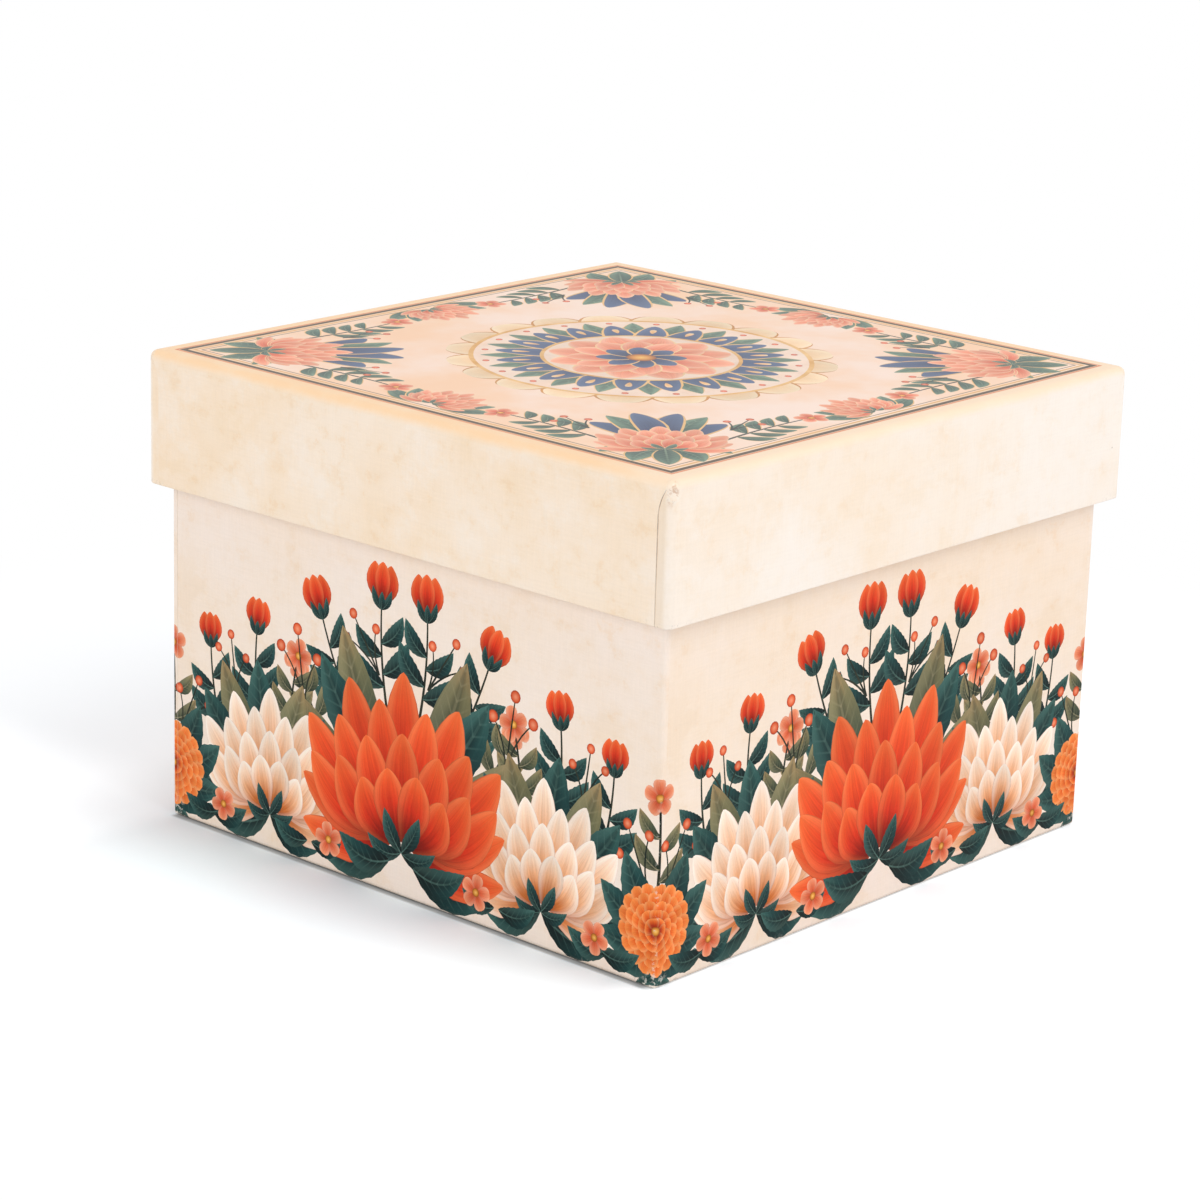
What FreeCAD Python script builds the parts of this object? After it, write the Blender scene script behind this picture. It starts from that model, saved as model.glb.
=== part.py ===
"""Square rigid sweet box: a board tray and a telescoping lift-off lid, both wrapped in paper.

Millimetres. +Z is up, +X is right and -Y is front. The origin is the middle of the underside.
Each half is a tray of five boards held at its corners by stay tapes and covered by a wrap; the lid
is such a tray upside down.
"""
import FreeCAD
import Part
import Sketcher
import os

# Driving dimensions, each set by itself.
SIZES = {
    # Outside of the wrapped lid, and of the closed box.
    "lid_width": 127.0,
    "lid_depth": 127.0,
    "box_height": 89.4,
    "skirt_height": 25.0,
    # Stock: greyboard, printed wrap, lining paper and the stay tape over the corners.
    "board_thickness": 2.0,
    "wrap_thickness": 0.2,
    "lining_thickness": 0.2,
    "stay_thickness": 0.15,
    # Gap on each side between the lid's turned-in paper and the wrapped base.
    "slip_clearance": 0.7,
    # Outside radius of the wrapped edges.
    "lid_round": 1.5,
    "base_round": 1.2,
    # Paper folded over the base's rim and down its inside, and under its floor.
    "base_turn_in": 15.0,
    "base_turn_under": 14.0,
    # The lid's turned-in paper stops this far below its lining.
    "lid_turn_in_gap": 0.6,
    # The sheet under the base stops this far inside the base's edge.
    "bottom_sheet_margin": 4.0,
    # Stay tapes: the leg on each board, and the bare board left at a tape's free end.
    "stay_leg": 14.0,
    "stay_margin": 1.0,
}

# Sizes that follow from the driving ones, so that the pieces keep fitting.
FITS = {
    # From the wrap's outside to the board's outside: the paper and the film that the tape takes up.
    "skin": "=Sizes.wrap_thickness + Sizes.stay_thickness",
    # A whole wrapped wall: skin, board and the paper turned in.
    "wall": "=skin + Sizes.board_thickness + Sizes.wrap_thickness",
    "base_width": "=Sizes.lid_width - 2 * (wall + Sizes.slip_clearance)",
    "base_depth": "=Sizes.lid_depth - 2 * (wall + Sizes.slip_clearance)",
    # Levels, from the underside upwards.
    "base_wrap_bottom": "=Sizes.lining_thickness",
    "skirt_bottom": "=Sizes.box_height - Sizes.skirt_height",
    "lid_board_bottom": "=Sizes.box_height - Sizes.wrap_thickness - Sizes.board_thickness",
    "rim": "=lid_board_bottom - Sizes.lining_thickness",
    "base_wrap_height": "=rim - base_wrap_bottom",
    "lid_turn_in": "=rim - Sizes.lid_turn_in_gap - skirt_bottom",
}

UPRIGHT = FreeCAD.Rotation()
UPSIDE_DOWN = FreeCAD.Rotation(FreeCAD.Vector(1, 0, 0), 180)
UP = FreeCAD.Vector(0, 0, 1)
LEVEL_TOLERANCE = 1e-6

doc = FreeCAD.newDocument("sweet_box")
nodes = []


def fill_sheet(name, cells):
    """A sheet with one aliased cell for each size."""
    sheet = doc.addObject("Spreadsheet::Sheet", name)
    for row, (alias, content) in enumerate(cells.items(), start=1):
        sheet.set(f"A{row}", alias)
        sheet.set(f"B{row}", str(content))
        sheet.setAlias(f"B{row}", alias)
    doc.recompute()


def new_piece(label, rotation, x, y, z):
    """A body of its own for one sub-part, turned once and placed by expressions."""
    body = doc.addObject("PartDesign::Body", label)
    body.Label = label
    body.Placement = FreeCAD.Placement(FreeCAD.Vector(), rotation)
    for axis, place in (("x", x), ("y", y), ("z", z)):
        body.setExpression(f"Placement.Base.{axis}", place)
    nodes.append(body)
    return body


def level_sketch(body, name, level="0"):
    """A sketch parallel to the body's XY plane, at a height given by an expression."""
    plane = next(item for item in body.Origin.OriginFeatures if item.Role == "XY_Plane")
    sketch = body.newObject("Sketcher::SketchObject", name)
    sketch.AttachmentSupport = [(plane, "")]
    sketch.MapMode = "FlatFace"
    sketch.setExpression("AttachmentOffset.Base.z", level)
    return sketch


def draw_outline(sketch, corners):
    """Closed outline of straight lines, each of them horizontal or vertical. Returns its first line."""
    first = sketch.GeometryCount
    count = len(corners)
    for start, end in zip(corners, corners[1:] + corners[:1]):
        line = Part.LineSegment(FreeCAD.Vector(*start, 0), FreeCAD.Vector(*end, 0))
        sketch.addGeometry(line, False)
        direction = "Horizontal" if start[1] == end[1] else "Vertical"
        sketch.addConstraint(Sketcher.Constraint(direction, sketch.GeometryCount - 1))
    for step in range(count):
        joined = (first + step, 2, first + (step + 1) % count, 1)
        sketch.addConstraint(Sketcher.Constraint("Coincident", *joined))
    return first


def set_length(sketch, kind, line, start, end, length):
    """Binds the length of a line, from its point start to its point end, to an expression."""
    drawn = abs(sketch.evalExpression(length))
    index = sketch.addConstraint(Sketcher.Constraint(kind, line, start, line, end, drawn))
    sketch.setExpression(f"Constraints[{index}]", length)


def draw_rectangle(sketch, width, depth):
    """Rectangle about the sketch's origin."""
    half_width = sketch.evalExpression(width) / 2
    half_depth = sketch.evalExpression(depth) / 2
    corners = [
        (-half_width, -half_depth),
        (half_width, -half_depth),
        (half_width, half_depth),
        (-half_width, half_depth),
    ]
    first = draw_outline(sketch, corners)
    middle = (first, 1, first + 1, 2, -1, 1)
    sketch.addConstraint(Sketcher.Constraint("Symmetric", *middle))
    set_length(sketch, "DistanceX", first, 1, 2, width)
    set_length(sketch, "DistanceY", first + 1, 1, 2, depth)


def pad(body, sketch, height):
    """The sketch's outline raised by a height."""
    feature = body.newObject("PartDesign::Pad", f"{body.Name}_pad")
    feature.Profile = sketch
    feature.setExpression("Length", height)
    doc.recompute()
    return feature


def pocket(body, sketch, depth, upward=False):
    """The sketch's outline cut out of the body, downwards unless told otherwise."""
    before = body.Shape.Volume
    feature = body.newObject("PartDesign::Pocket", f"{body.Name}_pocket")
    feature.Profile = sketch
    feature.Reversed = upward
    feature.setExpression("Length", depth)
    doc.recompute()
    if feature.Shape.Volume >= before:
        raise RuntimeError(f"{body.Label}: the pocket cuts nothing")
    return feature


def round_edges(body, base, radius, wanted):
    """Rounds the edges of a feature whose two ends satisfy wanted."""
    names = []
    for number, edge in enumerate(base.Shape.Edges, start=1):
        if wanted(edge.Vertexes[0].Point, edge.Vertexes[-1].Point):
            names.append(f"Edge{number}")
    feature = body.newObject("PartDesign::Fillet", f"{body.Name}_round")
    feature.Base = (base, names)
    feature.setExpression("Radius", radius)
    doc.recompute()
    return feature


def standing(start, end):
    """True for an edge that runs up the piece."""
    return abs(start.z - end.z) > LEVEL_TOLERANCE


def rising_from(level):
    """A test that is true for an edge that runs round a floor at that level or up from it."""

    def on_floor(start, end):
        """True where the edge's lower end is on the floor."""
        return abs(min(start.z, end.z) - level) < LEVEL_TOLERANCE

    return on_floor


def standing_outside(start, end):
    """True for an edge that runs up the -Y side of a wall."""
    return standing(start, end) and start.y < 0


def plate(label, width, depth, thickness, rotation=UPRIGHT, x="0", y="0", z="0"):
    """Flat rectangular piece, with its own underside at z."""
    body = new_piece(label, rotation, x, y, z)
    sketch = level_sketch(body, f"{label}_outline")
    draw_rectangle(sketch, width, depth)
    return body, pad(body, sketch, thickness)


def wrap(label, width, depth, height, round_radius, turn_in, rotation, z):
    """Paper over the outside of a tray, folded over its rim and down the inside of its walls.

    A block is hollowed until the paper's thickness is left all round, which makes the room that the
    boards fill. The tray's mouth is cut through its rim, and a strip as deep as the turned-in paper
    hangs from the mouth's edge.
    """
    paper = "Sizes.wrap_thickness"
    body = new_piece(label, rotation, "0", "0", z)
    outline = level_sketch(body, f"{label}_outline")
    draw_rectangle(outline, width, depth)
    pad(body, outline, height)

    room = level_sketch(body, f"{label}_room", f"{height} - {paper}")
    draw_rectangle(room, f"{width} - 2 * {paper}", f"{depth} - 2 * {paper}")
    hollow = pocket(body, room, f"{height} - 2 * {paper}")
    room_floor = body.evalExpression(paper)
    rounded = round_edges(body, hollow, f"{round_radius} - {paper}", rising_from(room_floor))
    round_edges(body, rounded, round_radius, rising_from(0))

    mouth_size = (f"{width} - 2 * Fits.wall", f"{depth} - 2 * Fits.wall")
    mouth = level_sketch(body, f"{label}_mouth", height)
    draw_rectangle(mouth, *mouth_size)
    pocket(body, mouth, paper)
    strip = level_sketch(body, f"{label}_strip", f"{height} - {turn_in}")
    draw_rectangle(strip, *(f"{size} + 2 * {paper}" for size in mouth_size))
    draw_rectangle(strip, *mouth_size)
    pad(body, strip, turn_in)
    return body


def wall_boards(prefix, name, width, depth, round_radius, bottom, height):
    """Four walls: front and back as wide as the tray, left and right between them."""
    board = "Sizes.board_thickness"
    front = f"({depth} - {board}) / 2"
    side = f"({width} - {board}) / 2"
    for place, turn, y in (("front", 0, f"-{front}"), ("back", 180, front)):
        label = f"{prefix}_{place}_{name}"
        rotation = FreeCAD.Rotation(UP, turn)
        body, block = plate(label, width, board, height, rotation, y=y, z=bottom)
        round_edges(body, block, round_radius, standing_outside)
    for place, x in (("left", f"-{side}"), ("right", side)):
        label = f"{prefix}_{place}_{name}"
        plate(label, board, f"{depth} - 2 * {board}", height, x=x, z=bottom)


def corner_stays(prefix, width, depth, round_radius, bottom, height):
    """Four L-section paper tapes over the upright corners of the boards."""
    tape = "Sizes.stay_thickness"
    leg = "Sizes.stay_leg"
    corner_x = f"({width} / 2 + {tape})"
    corner_y = f"({depth} / 2 + {tape})"
    corners = (
        ("back_right", 0, corner_x, corner_y),
        ("back_left", 90, f"-{corner_x}", corner_y),
        ("front_left", 180, f"-{corner_x}", f"-{corner_y}"),
        ("front_right", 270, corner_x, f"-{corner_y}"),
    )
    for place, turn, x, y in corners:
        label = f"{prefix}_{place}_stay"
        rotation = FreeCAD.Rotation(UP, turn)
        body = new_piece(label, rotation, x, y, bottom)
        sketch = level_sketch(body, f"{label}_section")
        far = -sketch.evalExpression(leg)
        near = -sketch.evalExpression(tape)
        section = [(0, 0), (far, 0), (far, near), (near, near), (near, far), (0, far)]
        first = draw_outline(sketch, section)
        sketch.addConstraint(Sketcher.Constraint("Coincident", first, 1, -1, 1))
        set_length(sketch, "DistanceX", first, 2, 1, leg)
        set_length(sketch, "DistanceY", first + 1, 2, 1, tape)
        set_length(sketch, "DistanceX", first + 4, 1, 2, tape)
        set_length(sketch, "DistanceY", first + 5, 1, 2, leg)
        angle = pad(body, sketch, height)
        bent = round_edges(body, angle, f"{round_radius} + {tape}", at_outer_corner)
        round_edges(body, bent, round_radius, at_inner_corner)


def at_outer_corner(start, end):
    """True for the upright edge on the outside of a tape's bend."""
    return standing(start, end) and max(abs(start.x), abs(start.y)) < LEVEL_TOLERANCE


def at_inner_corner(start, end):
    """True for the upright edge on the inside of a tape's bend, one thickness in from both legs."""
    alike = abs(start.x - start.y) < LEVEL_TOLERANCE
    return standing(start, end) and alike and start.x < -LEVEL_TOLERANCE


def build_base():
    """The tray: floor, walls, stays, wrap, the sheet under it and its lining."""
    board = "Sizes.board_thickness"
    lining = "Sizes.lining_thickness"
    width = "(Fits.base_width - 2 * Fits.skin)"
    depth = "(Fits.base_depth - 2 * Fits.skin)"
    inner_width = f"({width} - 2 * {board})"
    inner_depth = f"({depth} - 2 * {board})"
    corner = "(Sizes.base_round - Fits.skin)"
    floor_bottom = "(Fits.base_wrap_bottom + Sizes.wrap_thickness)"
    floor_top = f"({floor_bottom} + {board})"
    wall_height = f"(Fits.rim - Sizes.wrap_thickness - {floor_top})"

    floor, block = plate("base_floor_board", width, depth, board, z=floor_bottom)
    round_edges(floor, block, corner, rising_from(0))
    wall_boards("base", "wall_board", width, depth, corner, floor_top, wall_height)
    stay_height = f"{wall_height} - Sizes.stay_margin"
    corner_stays("base", width, depth, corner, floor_top, stay_height)

    paper = wrap(
        "base_wrap",
        "Fits.base_width",
        "Fits.base_depth",
        "Fits.base_wrap_height",
        "Sizes.base_round",
        "Sizes.base_turn_in",
        UPRIGHT,
        "Fits.base_wrap_bottom",
    )
    opening = level_sketch(paper, "base_wrap_opening")
    open_width = "Fits.base_width - 2 * Sizes.base_turn_under"
    open_depth = "Fits.base_depth - 2 * Sizes.base_turn_under"
    draw_rectangle(opening, open_width, open_depth)
    pocket(paper, opening, "Sizes.wrap_thickness", upward=True)

    sheet_width = "Fits.base_width - 2 * Sizes.bottom_sheet_margin"
    sheet_depth = "Fits.base_depth - 2 * Sizes.bottom_sheet_margin"
    plate("base_bottom_sheet", sheet_width, sheet_depth, lining)

    strip = new_piece("base_wall_lining", UPRIGHT, "0", "0", floor_top)
    ring = level_sketch(strip, "base_wall_lining_outline")
    draw_rectangle(ring, inner_width, inner_depth)
    draw_rectangle(ring, f"{inner_width} - 2 * {lining}", f"{inner_depth} - 2 * {lining}")
    pad(strip, ring, f"Fits.rim - Sizes.base_turn_in - {floor_top}")
    sheet = (f"{inner_width} - 2 * {lining}", f"{inner_depth} - 2 * {lining}")
    plate("base_floor_lining", *sheet, lining, z=floor_top)


def build_lid():
    """The lid: top, skirts, stays, wrap and the lining that rests on the base's rim."""
    board = "Sizes.board_thickness"
    width = "(Sizes.lid_width - 2 * Fits.skin)"
    depth = "(Sizes.lid_depth - 2 * Fits.skin)"
    corner = "(Sizes.lid_round - Fits.skin)"
    top_face = "Sizes.box_height - Sizes.wrap_thickness"
    skirt_bottom = "(Fits.skirt_bottom + Sizes.wrap_thickness)"
    skirt_height = f"(Fits.lid_board_bottom - {skirt_bottom})"

    top, block = plate("lid_top_board", width, depth, board, UPSIDE_DOWN, z=top_face)
    round_edges(top, block, corner, rising_from(0))
    wall_boards("lid", "skirt_board", width, depth, corner, skirt_bottom, skirt_height)
    stay_bottom = f"{skirt_bottom} + Sizes.stay_margin"
    stay_height = f"{skirt_height} - Sizes.stay_margin"
    corner_stays("lid", width, depth, corner, stay_bottom, stay_height)
    wrap(
        "lid_wrap",
        "Sizes.lid_width",
        "Sizes.lid_depth",
        "Sizes.skirt_height",
        "Sizes.lid_round",
        "Fits.lid_turn_in",
        UPSIDE_DOWN,
        "Sizes.box_height",
    )
    inner_width = f"{width} - 2 * {board}"
    inner_depth = f"{depth} - 2 * {board}"
    plate("lid_lining", inner_width, inner_depth, "Sizes.lining_thickness", z="Fits.rim")


def check_model():
    """Stops if any feature failed or any sub-part isn't one sound solid with no closed hollow."""
    for item in doc.Objects:
        if "Invalid" in item.State or "Error" in item.State:
            raise RuntimeError(f"{item.Name}: {item.State}")
    for node in nodes:
        shape = node.Shape
        if shape.isNull() or not shape.isValid() or len(shape.Solids) != 1:
            raise RuntimeError(f"{node.Label}: not one valid solid")
        if len(shape.Shells) != 1:
            raise RuntimeError(f"{node.Label}: a hollow is closed off")


def write_parts():
    """One file for each sub-part, named after it."""
    os.makedirs("parts", exist_ok=True)
    for node in nodes:
        node.Shape.exportStep(f"parts/{node.Label}.step")
        box = node.Shape.BoundBox
        print(f"{node.Label}: {box.XLength:.2f} x {box.YLength:.2f} x {box.ZLength:.2f}, z {box.ZMin:.2f}")


fill_sheet("Sizes", SIZES)
fill_sheet("Fits", FITS)
build_base()
build_lid()
doc.recompute()
check_model()
write_parts()
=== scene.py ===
"""Looks of a square rigid sweet box: printed paper folded round its boards, and the studio."""
from __future__ import annotations

import logging
import math
from dataclasses import dataclass, field, replace
from enum import Enum
from typing import Any, Callable

import bmesh
import bpy
from mathutils import Matrix, Vector
from mathutils.geometry import delaunay_2d_cdt


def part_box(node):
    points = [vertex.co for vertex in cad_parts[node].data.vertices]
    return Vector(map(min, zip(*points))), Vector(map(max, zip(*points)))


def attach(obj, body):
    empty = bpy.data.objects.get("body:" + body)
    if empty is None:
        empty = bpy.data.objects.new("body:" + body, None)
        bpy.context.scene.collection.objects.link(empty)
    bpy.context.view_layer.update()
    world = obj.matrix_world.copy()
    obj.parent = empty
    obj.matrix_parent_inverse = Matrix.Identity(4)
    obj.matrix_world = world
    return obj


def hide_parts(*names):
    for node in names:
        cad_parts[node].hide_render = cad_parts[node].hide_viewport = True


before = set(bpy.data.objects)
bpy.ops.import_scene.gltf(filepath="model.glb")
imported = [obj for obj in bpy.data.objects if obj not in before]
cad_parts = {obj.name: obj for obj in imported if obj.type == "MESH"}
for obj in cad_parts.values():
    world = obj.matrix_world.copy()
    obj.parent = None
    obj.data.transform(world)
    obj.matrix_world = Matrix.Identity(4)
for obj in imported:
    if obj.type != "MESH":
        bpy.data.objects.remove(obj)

LOG = logging.getLogger("sweet_box")
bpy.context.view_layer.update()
MM = 0.001
PER_METRE = 1000.0
GOLDEN = 0.618034
UPWARDS = Vector((0.0, 1.0))

Socket = bpy.types.NodeSocket
Point = tuple[float, float]
Crease = tuple[Point, Point]
Stops = tuple[tuple[float, str], ...]


def climb(value: float, start: float, end: float) -> float:
    """Go straight from 0 at start to 1 at end, and stay there."""
    return min(max((value - start) / (end - start), 0.0), 1.0)


def put(name: str, data: Any) -> bpy.types.Object:
    """Make an object of a mesh, a lamp or a camera, and link it to the scene.

    Args:
        name: Name of the object.
        data: What it shows.

    Returns:
        The object, at the origin.
    """
    thing = bpy.data.objects.new(name, data)
    bpy.context.scene.collection.objects.link(thing)
    return thing


def tint(code: str) -> tuple[float, float, float, float]:
    """Turn a six-digit colour code into the linear colour that a node takes.

    Args:
        code: Red, green and blue as two hexadecimal digits each, as seen on a screen.

    Returns:
        Red, green, blue and an alpha of 1.
    """
    parts = [int(code[i:i + 2], 16) / 255.0 for i in (0, 2, 4)]
    linear = [p / 12.92 if p <= 0.04045 else ((p + 0.055) / 1.055) ** 2.4 for p in parts]
    return (linear[0], linear[1], linear[2], 1.0)


def operator(operation: str, flipped: bool = False) -> Callable[[Field, Field | float], Field]:
    """Make an operator of two numbers that vary over a surface.

    Args:
        operation: What its Math node does.
        flipped: Whether the other number comes first, as in 1 - mask.

    Returns:
        The operator, a method of the first number.
    """

    def combine(one: Field, other: Field | float) -> Field:
        """Add the Math node."""
        return one.math(operation, other, one) if flipped else one.math(operation, one, other)

    return combine


class Field:
    """A number that varies over a surface: a node's output that takes part in Python sums."""

    def __init__(self, nodes: "Nodes", socket: Socket) -> None:
        """Keep the node tree and the output that the number comes from."""
        self.nodes = nodes
        self.socket = socket

    def math(self, operation: str, *terms: "Field | float") -> "Field":
        """Add one Math node on these terms and return its result."""
        return self.nodes.value("ShaderNodeMath", {"operation": operation}, dict(enumerate(terms)))

    __add__ = operator("ADD")
    __radd__ = operator("ADD", True)
    __sub__ = operator("SUBTRACT")
    __rsub__ = operator("SUBTRACT", True)
    __mul__ = operator("MULTIPLY")
    __rmul__ = operator("MULTIPLY", True)
    __truediv__ = operator("DIVIDE")
    __pow__ = operator("POWER")
    least = operator("MINIMUM")
    most = operator("MAXIMUM")

    def __abs__(self) -> "Field":
        """Drop the sign."""
        return self.math("ABSOLUTE", self)

    def part(self) -> "Field":
        """Keep only the decimal part, from 0 to 1."""
        return self.math("FRACT", self)

    def rise(self, start: float, end: float) -> "Field":
        """Go smoothly from 0 at start to 1 at end."""
        settings = {"interpolation_type": "SMOOTHSTEP"}
        return self.nodes.value("ShaderNodeMapRange", settings, {0: self, 1: start, 2: end})


class Nodes:
    """The node tree of one finish, or of the room's light."""

    def __init__(self, owner: bpy.types.Material | bpy.types.World) -> None:
        """Start an empty tree.

        Args:
            owner: A new material or world.
        """
        owner.use_nodes = True
        self.owner = owner
        self.tree = owner.node_tree
        self.tree.nodes.clear()

    @classmethod
    def named(cls, name: str) -> "Nodes":
        """Start an empty material of that name."""
        return cls(bpy.data.materials.new(name))

    def add(
        self, kind: str, settings: dict[str, Any] | None = None, inputs: dict[Any, Any] | None = None
    ) -> bpy.types.Node:
        """Add any node.

        Args:
            kind: The node's type.
            settings: Its properties, and "stops" for a colour ramp's positions and colours.
            inputs: Values or links for its sockets, by name or number.

        Returns:
            The new node.
        """
        node = self.tree.nodes.new(kind)
        for key, value in (settings or {}).items():
            if key == "stops":
                self._set_stops(node.color_ramp, value)
            else:
                setattr(node, key, value)
        for key, value in (inputs or {}).items():
            source = value.socket if isinstance(value, Field) else value
            if isinstance(source, Socket):
                self.tree.links.new(source, node.inputs[key])
            else:
                node.inputs[key].default_value = source
        return node

    @staticmethod
    def _set_stops(ramp: bpy.types.ColorRamp, stops: Stops) -> None:
        """Give a colour ramp its colours.

        Args:
            ramp: The ramp of a new node.
            stops: Positions and colour codes.
        """
        while len(ramp.elements) < len(stops):
            ramp.elements.new(1.0)
        for element, (position, code) in zip(ramp.elements, stops):
            element.position = position
            element.color = tint(code)

    def value(
        self, kind: str, settings: dict[str, Any] | None = None, inputs: dict[Any, Any] | None = None,
        output: int | str = 0,
    ) -> Field:
        """Add a node and return one of its outputs as a number."""
        return Field(self, self.add(kind, settings, inputs).outputs[output])

    def _parts(self, vector: Socket) -> tuple[Field, Field, Field]:
        """Take a vector apart into its three numbers."""
        x, y, z = self.add("ShaderNodeSeparateXYZ", None, {0: vector}).outputs
        return Field(self, x), Field(self, y), Field(self, z)

    def flat_map(self, name: str) -> tuple[Field, Field]:
        """Read the two numbers of one of the piece's own UV maps."""
        uv = self.add("ShaderNodeUVMap", {"uv_map": name}).outputs[0]
        return self._parts(uv)[:2]

    def place(self) -> tuple[Field, Field, Field]:
        """Read where the surface is on the object, in metres."""
        return self._parts(self.add("ShaderNodeTexCoord").outputs["Object"])

    def spot(self, x: Field | float, y: Field | float, z: Field | float = 0.0) -> Socket:
        """Join three numbers into a vector."""
        return self.add("ShaderNodeCombineXYZ", None, {0: x, 1: y, 2: z}).outputs[0]

    def noise(self, spot: Socket, scale: float, detail: float = 2.0, rough: float = 0.5) -> Field:
        """Read soft random blotches, from about 0.25 to 0.75."""
        inputs = {"Vector": spot, "Scale": scale, "Detail": detail, "Roughness": rough}
        return self.value("ShaderNodeTexNoise", {"noise_dimensions": "3D"}, inputs)

    def ramp(self, value: Field, stops: Stops) -> Socket:
        """Turn a number from 0 to 1 into a colour."""
        return self.add("ShaderNodeValToRGB", {"stops": stops}, {0: value}).outputs[0]

    def mix(
        self, below: Socket | str, above: Socket | str, amount: Field | float, mode: str = "MIX"
    ) -> Socket:
        """Lay one colour over another.

        Args:
            below: Colour code or socket underneath.
            above: Colour code or socket on top.
            amount: How much of the upper colour shows.
            mode: Blend mode of the Mix node.

        Returns:
            The mixed colour.
        """
        below = tint(below) if isinstance(below, str) else below
        above = tint(above) if isinstance(above, str) else above
        settings = {"data_type": "RGBA", "blend_type": mode, "clamp_factor": True}
        return self.add("ShaderNodeMix", settings, {0: amount, 6: below, 7: above}).outputs[2]

    def brighten(self, colour: Socket, gain: Field) -> Socket:
        """Make a colour lighter or darker by a factor that varies."""
        grey = self.spot(gain, gain, gain)
        return self.mix(colour, grey, 1.0, "MULTIPLY")

    def seen(self) -> Field:
        """Tell the rays that show the background from those that light the box.

        Returns:
            1 for the first and 0 for the others.
        """
        path = self.add("ShaderNodeLightPath").outputs
        camera, glossy, through = (
            Field(self, path[f"Is {kind} Ray"]) for kind in ("Camera", "Glossy", "Transmission")
        )
        return camera.most(glossy).most(through)

    def close(
        self, colour: Socket, rough: Field | float, height: Field, depth: float, gloss: float = 0.5
    ) -> bpy.types.Material:
        """Join the shader and the output, and return the finished material.

        Args:
            colour: Base colour.
            rough: Roughness.
            height: Relief from 0 to 1.
            depth: Height of the relief in metres.
            gloss: Strength of the reflections.

        Returns:
            The material.
        """
        bump = self.add("ShaderNodeBump", None, {"Strength": 1.0, "Distance": depth, "Height": height})
        shader = self.add("ShaderNodeBsdfPrincipled", None, {
            "Base Color": colour, "Roughness": rough, "Specular IOR Level": gloss,
            "Normal": bump.outputs[0],
        })
        self.add("ShaderNodeOutputMaterial", None, {0: shader.outputs[0]})
        return self.owner


class Brush(Enum):
    """Ways in which an ink is laid inside its shape."""

    PETAL = "petal"
    LEAF = "leaf"
    ROUND = "round"
    FLAT = "flat"


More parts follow.
